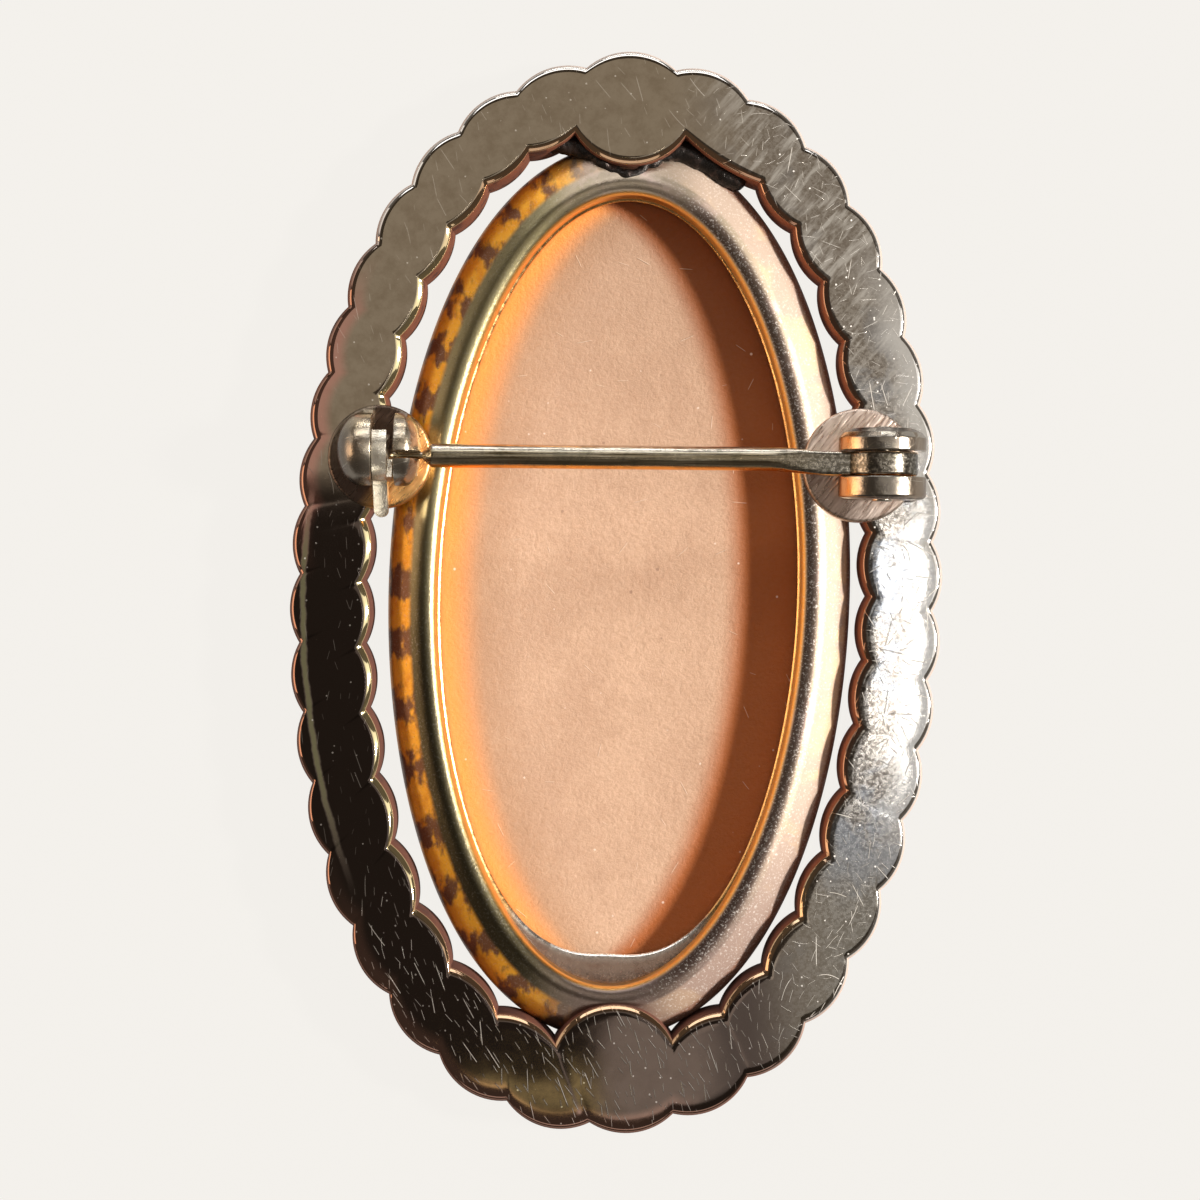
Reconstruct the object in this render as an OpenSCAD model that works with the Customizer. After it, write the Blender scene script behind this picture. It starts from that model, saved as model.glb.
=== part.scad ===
// Oval brooch, lying face down with its pin upwards.
// +X points to the hinge, +Y to the upper end and +Z out of the back.
// The floor is z = 0 and the origin is the middle of the base.

/* [Frame] */
// Length between the outer creases of the scalloped frame
frame_l = 47.1; // [46.5:0.05:48]
// Width between the outer creases of the scalloped frame
frame_w = 28.2; // [27.8:0.05:29]
// Length between the inner creases of the frame
frame_hole_l = 40.9; // [40.5:0.1:41.2]
// Width between the inner creases of the frame
frame_hole_w = 22.4; // [22.1:0.1:22.6]
// How far the frame's hole sits towards the upper end
frame_hole_up = 0.25; // [0:0.05:0.4]
// How much fuller than an ellipse the outline is on its diagonals
outer_fullness = 0.025; // [0:0.005:0.04]
// How much fuller than an ellipse the hole is on its diagonals
hole_fullness = 0.03; // [0.01:0.005:0.04]
// Radius of the scallops
scallop_r = 2.93; // [2.8:0.01:3.2]
// Outer scallops on the hinge side, between the two end lobes
lobes_right = 17; // [15:1:19]
// Outer scallops on the catch side, between the two end lobes
lobes_left = 18; // [16:1:20]
// Height of the frame's back above the floor
frame_back = 3.5; // [3.3:0.05:3.8]
// Height of the frame's front above the floor
frame_front = 0.35; // [0.2:0.05:0.6]

/* [Bezel] */
// Width of the opening in the back
opening_w = 16.2; // [15.5:0.1:16.5]
// Length of the opening in the back
opening_l = 35.2; // [34.5:0.1:35.7]
// How far the bezel sits towards the upper end
bezel_up = 0.15; // [0:0.05:0.3]
// How far the bezel sits towards the hinge
bezel_right = 0.15; // [0:0.05:0.2]
// Width of the bezel's rim at its sides
rim_w = 2.25; // [2.1:0.05:2.3]
// How much wider the rim is at both ends
rim_wider = 0.3; // [0:0.05:0.35]
// Height of the rounded rim above the floor
rim_top = 3.25; // [3.1:0.05:3.4]
// Width of the seat that shows at the lower end of the recess
seat_w = 1.3; // [0.4:0.1:1.6]

/* [Centre piece] */
// Thickness of the centre piece at its edge
tablet_edge = 0.9; // [0.7:0.05:0.9]
// Depth of the hollow in its back
tablet_dish = 0.45; // [0:0.05:0.5]
// How far the front bulges out of its edge
tablet_dome = 0.35; // [0.1:0.05:0.4]

/* [Pin] */
// Distance from the rivet to the near cheek of the catch
catch_reach = 20.18; // [20:0.02:20.4]
// Diameter of the wire
wire_d = 1.05; // [0.9:0.05:1.05]
// Diameter of the thin point that the catch holds
point_d = 0.3; // [0.24:0.02:0.3]
// Length of the cone between the wire and the thin point
cone_l = 0.42; // [0.3:0.02:0.6]
// Radius of the flat head on the rivet
head_r = 1.55; // [1.4:0.05:1.55]
// Thickness of the flat head
head_t = 1.07; // [0.9:0.01:1.08]
// How far the head is set off the line of the wire
head_shift = -0.18; // [-0.2:0.01:0]
// Angle between the pin and the width of the brooch
pin_skew = 1.18; // [0:0.01:2]

/* [Hinge] */
// Where the rivet sits, towards the side
rivet_x = 11.45; // [11:0.05:12]
// Where the rivet sits, towards the upper end
rivet_y = 6.2; // [6:0.05:7]
// Height of the rivet and of the wire above the floor
axis_z = 5.65; // [5.65:0.05:5.8]
// Diameter of the rivet
rivet_d = 0.9; // [0.7:0.05:1]
// Radius of the two round ears
ear_r = 1.92; // [1.8:0.02:2]
// Thickness of each ear
ear_t = 0.98; // [0.8:0.02:1]
// Room between an ear and the pin's head
ear_gap = 0.035; // [0.03:0.005:0.06]
// Radius of the round plate under the hinge
hinge_pad_r = 2.52; // [2.3:0.02:2.6]

/* [Catch] */
// Radius of the two round cheeks
cheek_r = 1.6; // [1.5:0.02:1.65]
// Radius of the round plate under the catch
catch_pad_r = 2.3; // [2.1:0.02:2.4]
// Radius of the turning lever's disc
rotor_r = 1.42; // [1.3:0.02:1.45]
// Thickness of the turning lever
rotor_t = 0.63; // [0.5:0.01:0.65]
// Reach of the lever's tail from the axis
tail_l = 2.95; // [2.4:0.05:3.1]
// How far the lever's axis lies above the point, towards the upper end
catch_up = 0.25; // [0.2:0.05:0.3]
// Width of the slit through which the thin point lifts
slit_w = 0.36; // [0.36:0.01:0.42]

/* [Hidden] */
$fn = 64;

// Colours
gold_dark = "#8c7f66";
gold_warm = "#c98a4b";
gold_bright = "#b7ab8c";
tan_pink = "#cfa98a";

// Facets along one outer scallop
lobe_steps = 8;
// Each outline starts at the crease below the lowest scallop on the hinge side, at this angle
outer_start = -76.8;
hole_start = -74.1;
// Columns of its runs of scallops, once round: angle of the last crease, number and radius of the
// scallops, rings shared out among them, and how much longer they get to both ends and low down
run_end = 0;
run_lobes = 1;
run_radius = 2;
run_rings = 3;
run_grow = 4;
run_low = 5;
outer_runs = [
    [82.0, lobes_right, scallop_r, lobes_right * lobe_steps, 0.23, 0.05],
    [98.2, 1, scallop_r, lobe_steps, 0, 0],
    [268.2, lobes_left, scallop_r, lobes_left * lobe_steps, 0.20, 0.08],
    [283.2, 1, scallop_r, lobe_steps, 0, 0],
];
// The hole has one scallop fewer on each side, and one on the hinge side is long and flat
long_lobe_r = 8;
hole_runs = [
    [60.0, lobes_right - 2, scallop_r, (lobes_right - 2) * lobe_steps, -0.20, 0.04],
    [77.2, 1, long_lobe_r, 2 * lobe_steps, 0, 0],
    [102.6, 1, scallop_r, lobe_steps, 0, 0],
    [259.0, lobes_left - 1, scallop_r, lobes_left * lobe_steps, -0.09, 0.12],
    [285.9, 1, scallop_r, lobe_steps, 0, 0],
];

// Fine clearances
fit_gap = 0.04;
press_gap = 0.01;
rabbet_gap = 0.05;

// The two round plates, and what stands on them
pad_top = 4.0;
pad_low = 3.05;
foot_sink = 0.2;
foot_h = 0.7;
// Places along the pin from the rivet: both faces of the left cheek, then of the right one
catch_x = [for (past_near_face = [3.65, 2.11, 1.14, 0]) -catch_reach - past_near_face];
catch_pad_x = catch_x[3] - 1.91;
hinge_pad_x = -0.85;
rotor_x = catch_x[1] + fit_gap;
// The point ends between the cheeks
pin_l = catch_reach + 1.35;
// Where the wire stops being round, and where its flat part begins
round_from = -4.6;
flat_from = -2.15;
flat_h = 1.08;
// The stub on which the lever turns in the left cheek
journal_r = 0.5;
journal_l = 0.95;

// Points on the two outlines

// A point on an ellipse that is a little full on its diagonals
function oval(a, b, t, full) =
    (1 + full * pow(sin(2 * t), 2)) * [a * cos(t), b * sin(t)];

// Running length along the ellipse, counted in scallops that grow towards the ends
function length_table(a, b, t0, t1, grow, low) =
    let (steps = 90, dt = (t1 - t0) / steps)
    let (rate = [for (i = [0 : steps])
        let (t = t0 + i * dt)
        norm([a * sin(t), b * cos(t)]) / (1 + grow * pow(sin(t), 4) - low * sin(t))])
    [for (i = 0, s = 0; i <= steps; s = s + (rate[i] + rate[min(i + 1, steps)]) / 2, i = i + 1)
        [s, t0 + i * dt]];

// The angles of the creases of n scallops between t0 and t1
function crease_angles(a, b, t0, t1, n, grow, low) =
    let (table = length_table(a, b, t0, t1, grow, low), whole = table[len(table) - 1][0])
    [for (k = [0 : n]) lookup(k * whole / n, table)];

// The points of one scallop from crease p towards crease q, bulging to its right for side 1
function scallop(p, q, side, r, steps) =
    let (chord = norm(q - p), along = (q - p) / chord)
    let (out = side * [along[1], -along[0]])
    let (middle = (p + q) / 2 - out * sqrt(pow(r, 2) - pow(chord / 2, 2)))
    let (half = asin(chord / 2 / r))
    [for (i = [0 : steps - 1])
        let (turn = half * (2 * i / steps - 1))
        middle + r * (out * cos(turn) + along * sin(turn))];

// The points of one run of scallops that starts at angle t0
function scallop_run(a, b, up, full, t0, run, side) =
    let (n = run[run_lobes], rings = run[run_rings])
    let (angles = crease_angles(a, b, t0, run[run_end], n, run[run_grow], run[run_low]))
    let (creases = [for (t = angles) oval(a, b, t, full) + [0, up]])
    [for (k = [0 : n - 1])
        let (first = round(k * rings / n), last = round((k + 1) * rings / n))
        each scallop(creases[k], creases[k + 1], side, run[run_radius], last - first)];

// One closed outline, run after run
function outline(a, b, up, full, start, runs, side) =
    [for (i = [0 : len(runs) - 1])
        each scallop_run(a, b, up, full, i == 0 ? start : runs[i - 1][run_end], runs[i], side)];

// Solids swept round a closed path

// Triangles between the rings of a closed sweep with m points in each section
function sweep_faces(n, m) =
    [for (i = [0 : n - 1], j = [0 : m - 1])
        let (i2 = (i + 1) % n, j2 = (j + 1) % m)
        each [[i * m + j, i2 * m + j, i2 * m + j2], [i * m + j, i2 * m + j2, i * m + j2]]];

module sweep(sections) {
    n = len(sections);
    m = len(sections[0]);
    polyhedron(points = [for (s = sections) each s], faces = sweep_faces(n, m), convexity = 8);
}

// Section of the frame: [which edge: 0 outer to 1 inner, distance past it, height]
edge = 0;
past = 1;
height = 2;
frame_section = [
    [0.0, 0.40, frame_front + 0.22],
    [0.5, 0.00, frame_front],
    [1.0, -0.40, frame_front + 0.22],
    [1.0, 0.00, frame_front + 0.75],
    [1.0, -0.08, frame_back - 0.70],
    [1.0, -0.20, frame_back - 0.20],
    [1.0, -0.55, frame_back - 0.03],
    [0.5, 0.00, frame_back],
    [0.0, 0.55, frame_back - 0.03],
    [0.0, 0.20, frame_back - 0.14],
    [0.0, 0.04, frame_back - 0.45],
    [0.0, 0.00, frame_back - 0.90],
    [0.0, 0.08, frame_front + 0.75],
];

module frame_band() {
    outer = outline(frame_w / 2, frame_l / 2, 0, outer_fullness, outer_start, outer_runs, 1);
    inner = outline(frame_hole_w / 2, frame_hole_l / 2, frame_hole_up, hole_fullness,
                    hole_start, hole_runs, -1);
    sweep([for (i = [0 : len(outer) - 1])
        let (across = inner[i] - outer[i], unit = across / norm(across))
        [for (p = frame_section)
            let (at = outer[i] + across * p[edge] + unit * p[past])
            [at[0], at[1], p[height]]]]);
}

// Section of the bezel: [distance outwards from the opening's edge, height]
bezel_front = 1.45;
rabbet_w = 0.8;
lip_w = 0.35;
lip_h = 0.45;
function bezel_section(seat, rim) = [
    [-seat, bezel_front],
    [-seat, bezel_front + 0.2],
    [0, bezel_front + 0.25],
    [0, rim_top - 0.3],
    [0.2, rim_top - 0.08],
    [0.55, rim_top],
    [0.9, rim_top - 0.1],
    [rim - 0.5, rim_top - 0.62],
    [rim - 0.2, rim_top - 0.95],
    [rim, rim_top - 1.6],
    [rim, 0.45],
    [rim - 0.5, 0],
    [0.9, 0],
    [lip_w, 0.15],
    [lip_w, lip_h],
    [rabbet_w, lip_h],
    [rabbet_w, bezel_front],
];
bezel_rings = 90;

// A point at a distance w outside the edge of the opening, from the bezel's own middle
function beside_opening(t, w) =
    let (a = opening_w / 2, b = opening_l / 2)
    let (out = [cos(t) / a, sin(t) / b])
    [a * cos(t), b * sin(t)] + w * out / norm(out);

module bezel() {
    translate([bezel_right, bezel_up, 0]) sweep([for (i = [0 : bezel_rings - 1])
        let (t = 360 * i / bezel_rings)
        let (seat = 0.12 + (seat_w - 0.12) * pow(max(0, -sin(t)), 12))
        let (rim = rim_w + rim_wider * pow(sin(t), 2))
        [for (p = bezel_section(seat, rim))
            let (at = beside_opening(t, p[0]))
            [at[0], at[1], p[1]]]]);
}

// Fittings, in the line of the pin: x runs from the point to the rivet, y = 0 is the wire

module fittings() {
    translate([rivet_x, rivet_y, 0]) rotate([0, 0, pin_skew]) children();
}

// Turns a solid of revolution to lie along the pin
module along_pin() {
    rotate([90, 0, 90]) children();
}

// Turns a solid of revolution to lie along the rivet, with its far end towards +y
module along_rivet() {
    rotate([-90, 0, 0]) children();
}

module pad(r) {
    soft = 0.14;
    rotate_extrude()
        polygon([[0, pad_low], [r, pad_low], [r, pad_top - soft], [r - soft, pad_top],
                 [0, pad_top]]);
}

// Ear: a disc whose outer face is rounded off over a given depth
module ear(rounding) {
    low = ear_t - rounding;
    rotate_extrude()
        polygon([[0, 0], [ear_r, 0], [ear_r, low],
                 [ear_r - 0.45 * rounding, low + 0.55 * rounding],
                 [ear_r - 1.4 * rounding, ear_t], [0, ear_t]]);
}

module ears() {
    inner_face = head_t / 2 + ear_gap;
    foot_l = 2.6;
    for (side = [-1, 1])
        translate([0, head_shift + side * inner_face, 0]) {
            translate([0, 0, axis_z])
                mirror([0, side < 0 ? 1 : 0, 0]) along_rivet() ear(side > 0 ? 0.42 : 0.14);
            translate([-foot_l / 2, side > 0 ? 0 : -ear_t, pad_top - foot_sink])
                cube([foot_l, ear_t, foot_h]);
        }
}

module hinge_base() {
    through = 8;
    difference() {
        union() {
            translate([hinge_pad_x, head_shift, 0]) pad(hinge_pad_r);
            ears();
        }
        translate([0, -through / 2, axis_z])
            along_rivet() cylinder(d = rivet_d + 2 * press_gap, h = through);
    }
}

// Cheeks of the catch as turned profiles: [place along the pin, radius]
left_cheek = [
    [catch_x[0], 0], [catch_x[0], 0.55], [catch_x[0] + 0.12, 0.95], [catch_x[0] + 0.36, 1.28],
    [catch_x[0] + 0.70, 1.50], [catch_x[0] + 1.05, cheek_r], [catch_x[1], cheek_r], [catch_x[1], 0],
];
right_cheek = [
    [catch_x[2], 0], [catch_x[2], cheek_r], [catch_x[2] + 0.45, cheek_r],
    [catch_x[2] + 0.80, 1.42], [catch_x[2] + 1.05, 1.10], [catch_x[3], 0.75], [catch_x[3], 0],
];

module turned(profile) {
    along_pin() rotate_extrude() polygon([for (p = profile) [p[1], p[0]]]);
}

// Feet of the cheeks: [from, to along the pin, from, to across it]
cheek_feet = [
    [catch_x[0] + 0.75, catch_x[1], -0.9, 1.2],
    [catch_x[2], catch_x[3] - 0.15, -0.9, 1.2],
    [catch_x[0] + 1.03, catch_x[1] - 0.05, 1.1, 2.1],
];

module catch_base() {
    journal_hole = journal_l + fit_gap;
    past_cheek = 2;
    difference() {
        union() {
            translate([catch_pad_x, 0, 0]) pad(catch_pad_r);
            translate([0, catch_up, axis_z]) {
                turned(left_cheek);
                turned(right_cheek);
            }
            for (f = cheek_feet)
                translate([f[0], f[2], pad_top - foot_sink])
                    cube([f[1] - f[0], f[3] - f[2], foot_h]);
        }
        translate([catch_x[1] - journal_hole, catch_up, axis_z])
            along_pin() cylinder(r = journal_r + fit_gap, h = journal_hole + 0.3);
        translate([catch_x[2] - 0.1, 0, axis_z]) {
            along_pin() cylinder(d = slit_w, h = past_cheek);
            translate([0, -slit_w / 2, 0]) cube([past_cheek, slit_w, 2 * cheek_r]);
        }
    }
}

// The space round the centre piece, which the lower lobe of the frame would reach into
module centre_room() {
    into_walls = 0.05;
    translate([bezel_right, bezel_up, lip_h - into_walls])
        linear_extrude(bezel_front - lip_h + 2 * into_walls)
            polygon([for (i = [0 : bezel_rings - 1])
                beside_opening(360 * i / bezel_rings, rabbet_w + into_walls)]);
}

module setting() {
    color(gold_dark) {
        difference() {
            frame_band();
            centre_room();
        }
        bezel();
        fittings() {
            hinge_base();
            catch_base();
        }
    }
}

// Rings of the centre piece: [part of its half width, height above the floor]
tablet_low = lip_h + rabbet_gap;
tablet_high = tablet_low + tablet_edge;
tablet_back = [
    [1.00, tablet_high], [0.90, tablet_high - 0.05], [0.70, tablet_high - 0.45 * tablet_dish],
    [0.45, tablet_high - 0.80 * tablet_dish], [0.20, tablet_high - 0.97 * tablet_dish],
];
tablet_face = [
    [0.20, tablet_low - 0.97 * tablet_dome], [0.45, tablet_low - 0.82 * tablet_dome],
    [0.70, tablet_low - 0.50 * tablet_dome], [0.90, tablet_low - 0.08 * tablet_dome],
    [1.00, tablet_low],
];
tablet_sides = 72;

module centre_piece() {
    rings = concat(tablet_back, tablet_face);
    n = tablet_sides;
    last = len(rings) * n;
    back_middle = len(tablet_back) - 1;
    over = rabbet_w - rabbet_gap;
    points = concat(
        [for (r = rings, i = [0 : n - 1])
            let (at = r[0] * beside_opening(360 * i / n, over))
            [at[0], at[1], r[1]]],
        [[0, 0, tablet_high - tablet_dish], [0, 0, tablet_low - tablet_dome]]);
    walls = [for (k = [0 : len(rings) - 1], i = [0 : n - 1])
        let (k2 = (k + 1) % len(rings), i2 = (i + 1) % n)
        if (k == back_middle)
            each [[k * n + i2, k * n + i, last], [k2 * n + i, k2 * n + i2, last + 1]]
        else
            each [[k * n + i2, k * n + i, k2 * n + i2], [k2 * n + i2, k * n + i, k2 * n + i]]];
    color(tan_pink) translate([bezel_right, bezel_up, 0])
        polyhedron(points = points, faces = walls, convexity = 4);
}

module rivet() {
    proud = 0.08;
    shank = 2 * (head_t / 2 + ear_gap + ear_t + proud);
    color(gold_warm) fittings()
        translate([0, head_shift - shank / 2, axis_z])
            along_rivet() cylinder(d = rivet_d, h = shank);
}

// Where the round wire is hammered out into the flat part
module pin_shoulder() {
    wire_r = wire_d / 2;
    spread = 0.95;
    beside = 0.03;
    intersection() {
        translate([0, 0, -flat_h / 2]) linear_extrude(flat_h)
            polygon([[round_from, -wire_r - beside], [flat_from, head_shift - head_t / 2],
                     [flat_from, head_shift + head_t / 2], [round_from, wire_r + beside]]);
        translate([round_from, 0, 0])
            along_pin() cylinder(r1 = wire_r, r2 = spread, h = flat_from - round_from);
    }
}

module pin_head() {
    translate([0, head_shift + head_t / 2, 0]) rotate([90, 0, 0]) linear_extrude(head_t) {
        circle(r = head_r);
        translate([flat_from, -flat_h / 2]) square([-flat_from, flat_h]);
    }
}

module pin_stem() {
    point_r = point_d / 2;
    shoulder = catch_x[3] + 0.07;
    wire_end = shoulder + cone_l;
    through = 4;
    color(gold_bright) fittings() translate([0, 0, axis_z]) difference() {
        union() {
            translate([-pin_l, 0, 0])
                along_pin() cylinder(r = point_r, h = pin_l + shoulder);
            translate([shoulder, 0, 0])
                along_pin() cylinder(r1 = point_r, r2 = wire_d / 2, h = cone_l);
            translate([wire_end, 0, 0])
                along_pin() cylinder(d = wire_d, h = round_from - wire_end);
            pin_shoulder();
            pin_head();
        }
        translate([0, -through / 2, 0])
            along_rivet() cylinder(d = rivet_d + 2 * fit_gap, h = through);
    }
}

// The lever's disc keeps this sector open towards the upper end: [from, to] in degrees
mouth = [-60, 56];
hub_r = 0.65;
// The thin hood that swings over the point when the lever is turned
hood = [150, 215];
hood_t = 0.22;
hood_inner_r = 0.5;

// Wedge from the axis, between two angles counted from +y towards +z
function wedge(from, to, reach) =
    concat([[0, 0]], [for (i = [0 : 6])
        let (a = from + (to - from) * i / 6)
        reach * [cos(a), sin(a)]]);

// Tail seen along the pin: [y, z from the axis]
tail = [
    [-0.60, 0.55], [-1.35, 0.30], [-2.20, -0.35], [-tail_l, -0.95], [-tail_l + 0.03, -1.22],
    [-2.40, -1.20], [-1.70, -0.98], [-0.90, -0.90],
];

module lever_disc() {
    difference() {
        circle(r = rotor_r);
        difference() {
            polygon(wedge(mouth[0], mouth[1], 2 * rotor_r));
            circle(r = hub_r);
        }
    }
}

module hood_ring() {
    intersection() {
        difference() {
            circle(r = rotor_r);
            circle(r = hood_inner_r);
        }
        polygon(wedge(hood[0], hood[1], 2 * rotor_r));
    }
}

module catch_lever() {
    overlap = 0.02;
    color(gold_bright) fittings() translate([rotor_x, catch_up, axis_z]) along_pin() {
        linear_extrude(rotor_t) {
            lever_disc();
            polygon(tail);
        }
        translate([0, 0, rotor_t - overlap])
            linear_extrude(hood_t + overlap) hood_ring();
        translate([0, 0, -journal_l])
            cylinder(r = journal_r, h = journal_l + overlap);
    }
}

setting();
centre_piece();
rivet();
pin_stem();
catch_lever();
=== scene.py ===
# Oval brooch, lying face down with its pin upwards: its pieces, finishes, light and camera.
import math

import bmesh
import bpy
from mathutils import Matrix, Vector


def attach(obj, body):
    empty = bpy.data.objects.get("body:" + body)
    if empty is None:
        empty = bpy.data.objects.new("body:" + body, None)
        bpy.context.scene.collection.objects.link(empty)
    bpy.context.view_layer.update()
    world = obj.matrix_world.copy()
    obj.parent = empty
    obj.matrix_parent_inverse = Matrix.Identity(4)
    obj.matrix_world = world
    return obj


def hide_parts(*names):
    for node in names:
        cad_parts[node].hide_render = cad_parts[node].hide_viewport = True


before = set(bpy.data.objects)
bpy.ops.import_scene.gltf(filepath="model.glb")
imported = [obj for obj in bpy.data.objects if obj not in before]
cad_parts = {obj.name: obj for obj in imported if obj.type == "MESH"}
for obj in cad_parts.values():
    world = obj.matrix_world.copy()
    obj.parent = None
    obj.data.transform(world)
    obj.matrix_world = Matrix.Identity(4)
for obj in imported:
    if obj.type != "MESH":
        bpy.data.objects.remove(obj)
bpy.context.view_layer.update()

# Lengths below are in millimetres; meshes are made in metres.
MM = 0.001
# Points of a mesh closer than this, in metres, become one.
SAME_POINT = 1e-7

# Frame: both its outlines run through creases on a full oval, with a scallop between each two.
FRAME_W, FRAME_L = 28.2, 47.1
HOLE_W, HOLE_L, HOLE_UP = 22.4, 40.9, 0.25
OUTER_FULLNESS, HOLE_FULLNESS = 0.025, 0.03
SCALLOP_R, LONG_LOBE_R = 2.93, 8.0
LOBE_RINGS = 20
# Columns: angle of a run's last crease, its scallops, their radius, the rings of points that they
# share, and how much longer they get towards both ends and low down
OUTER_START = -76.8
OUTER_RUNS = [
    (82.0, 17, SCALLOP_R, 17 * LOBE_RINGS, 0.23, 0.05),
    (98.2, 1, SCALLOP_R, LOBE_RINGS, 0, 0),
    (268.2, 18, SCALLOP_R, 18 * LOBE_RINGS, 0.20, 0.08),
    (283.2, 1, SCALLOP_R, LOBE_RINGS, 0, 0),
]
HOLE_START = -74.1
HOLE_RUNS = [
    (60.0, 15, SCALLOP_R, 15 * LOBE_RINGS, -0.20, 0.04),
    (77.2, 1, LONG_LOBE_R, 2 * LOBE_RINGS, 0, 0),
    (102.6, 1, SCALLOP_R, LOBE_RINGS, 0, 0),
    (259.0, 17, SCALLOP_R, 18 * LOBE_RINGS, -0.09, 0.12),
    (285.9, 1, SCALLOP_R, LOBE_RINGS, 0, 0),
]
FRAME_BACK, FRAME_FRONT = 3.5, 0.35
GROOVE_DEPTH = 0.0035

# Bezel round the open back. Its rim is measured outwards from the edge of the opening, and the
# ledge inwards.
OPENING_W, OPENING_L = 16.2, 35.2
BEZEL_RIGHT, BEZEL_UP = 0.15, 0.15
RIM_W, RIM_WIDER, RIM_TOP = 2.25, 0.3, 3.25
SEAT_W, LEDGE_W = 1.3, 0.12
LEDGE_LOW, LEDGE_HIGH = 1.45, 1.68
BEZEL_RINGS = 420

# Centre piece: a plate in the bezel, dished at the back and domed at the front.
PLATE_LOW, PLATE_HIGH = 0.5, 1.4
PLATE_OVER = 0.75
PLATE_DISH, PLATE_DOME = 0.45, 0.35

# Fittings, in the line of the pin: x runs from the point to the rivet, y is across, z is up.
RIVET_X, RIVET_Y, AXIS_Z = 11.45, 6.2, 5.65
PIN_SKEW = math.radians(1.18)
RIVET_D = 0.9
EAR_R, EAR_T, EAR_GAP = 1.92, 0.98, 0.035
HINGE_PLATE_R, HINGE_PLATE_X = 2.52, -0.85
CATCH_REACH = 20.18
CATCH_PLATE_R, CATCH_PLATE_X = 2.3, -CATCH_REACH - 1.91
PLATE_FOOT, PLATE_FACE = 3.05, 4.0
FOOT_L, FOOT_SINK, FOOT_RISE = 2.6, 0.1, 0.5
CHEEK_R = 1.6
CHEEK_FACES = [-CATCH_REACH - past for past in (3.65, 2.11, 1.14, 0)]
LEFT_DOME, RIGHT_DOME = 1.05, 0.69
CATCH_UP = 0.25
SLIT_W = 0.36
ROTOR_R, ROTOR_T = 1.42, 0.63
ROTOR_X = CHEEK_FACES[1] + 0.04
MOUTH = (-60, 56)
HUB_R = 0.65
HOOD, HOOD_T, HOOD_INNER_R = (150, 215), 0.22, 0.5
JOURNAL_R, JOURNAL_L = 0.5, 0.95
TAIL_L = 2.95

# Pin: a wire with a thin point, a cone and a flat head.
WIRE_D, POINT_D, CONE_L = 1.05, 0.3, 0.42
SHOULDER_X = CHEEK_FACES[3] + 0.07
PIN_L = CATCH_REACH + 1.35
ROUND_FROM, FLAT_FROM = -4.6, -2.15
HEAD_R, HEAD_T, HEAD_SHIFT = 1.55, 1.07, -0.18
FLAT_H = 1.08

# Camera: straight above, 15 cm away, turned a little on its own axis.
VIEW_WIDTH = 53.2
VIEW_MIDDLE = (-0.70, -0.29)
VIEW_HEIGHT = 150.0
VIEW_TURN = math.radians(1.75)
SENSOR_WIDTH = 36

# Colours that more than one finish uses, or that say what they are
TAUPE_GOLD = (0.35, 0.285, 0.21)
LIP_GOLD = (0.98, 0.56, 0.16)
RUBBED_BRIGHT = (0.97, 0.93, 0.88)
BROWN_OXIDE = (0.075, 0.055, 0.045)
BLACK_OXIDE = (0.02, 0.016, 0.014)
OLIVE = (0.16, 0.145, 0.09)
DARK_COPPER = (0.22, 0.085, 0.05)
FLOOR_WHITE = (0.896, 0.871, 0.831)


# Places

def to_brooch(along, across, up):
    """A place by the pin, moved into the brooch's own frame."""
    c, s = math.cos(PIN_SKEW), math.sin(PIN_SKEW)
    return Vector((RIVET_X + along * c - across * s, RIVET_Y + along * s + across * c, up))


def as_modelled(x, y, z):
    return Vector((x, y, z))


def on_pin_end(y, z, along):
    """A place in the lever's own plane: y across and z up from its axis."""
    return to_brooch(along, CATCH_UP + y, AXIS_Z + z)


# Meshes

def add(name, data):
    """Puts a mesh, light or camera into the scene."""
    made = bpy.data.objects.new(name, data)
    bpy.context.scene.collection.objects.link(made)
    return made


def make_piece(name, points, faces, material, smooth_below=40):
    """A closed piece from points in millimetres, with outward faces."""
    mesh = bpy.data.meshes.new(name)
    mesh.from_pydata([Vector(p) * MM for p in points], [], faces)
    piece = add(name, mesh)
    tidy_mesh(piece, smooth_below)
    mesh.materials.append(material)
    return piece


def tidy_mesh(piece, smooth_below=40):
    """Merges doubles, turns faces outwards and shades all but sharp edges smooth."""
    work = bmesh.new()
    work.from_mesh(piece.data)
    bmesh.ops.remove_doubles(work, verts=work.verts, dist=SAME_POINT)
    bmesh.ops.recalc_face_normals(work, faces=work.faces)
    work.to_mesh(piece.data)
    work.free()
    piece.data.shade_smooth()
    piece.data.set_sharp_from_angle(angle=math.radians(smooth_below))


def settle(piece):
    """Turns what the piece's modifiers give into its plain mesh."""
    graph = bpy.context.evaluated_depsgraph_get()
    made = bpy.data.meshes.new_from_object(piece.evaluated_get(graph), depsgraph=graph)
    piece.modifiers.clear()
    old = piece.data
    piece.data = made
    bpy.data.meshes.remove(old)


def combine(piece, tool, operation, smooth_below=40):
    """Joins a tool solid to a piece, takes it away, or keeps what both share."""
    step = piece.modifiers.new("Join", "BOOLEAN")
    step.operation = operation
    step.solver = "EXACT"
    step.object = tool
    settle(piece)
    bpy.data.objects.remove(tool)
    tidy_mesh(piece, smooth_below)


def bevel(piece, width, smooth_below=40):
    """Rounds the sharp edges of a piece."""
    step = piece.modifiers.new("Rounding", "BEVEL")
    step.width = width * MM
    step.segments = 3
    step.limit_method = "ANGLE"
    step.angle_limit = math.radians(30)
    settle(piece)
    tidy_mesh(piece, smooth_below)


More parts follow.
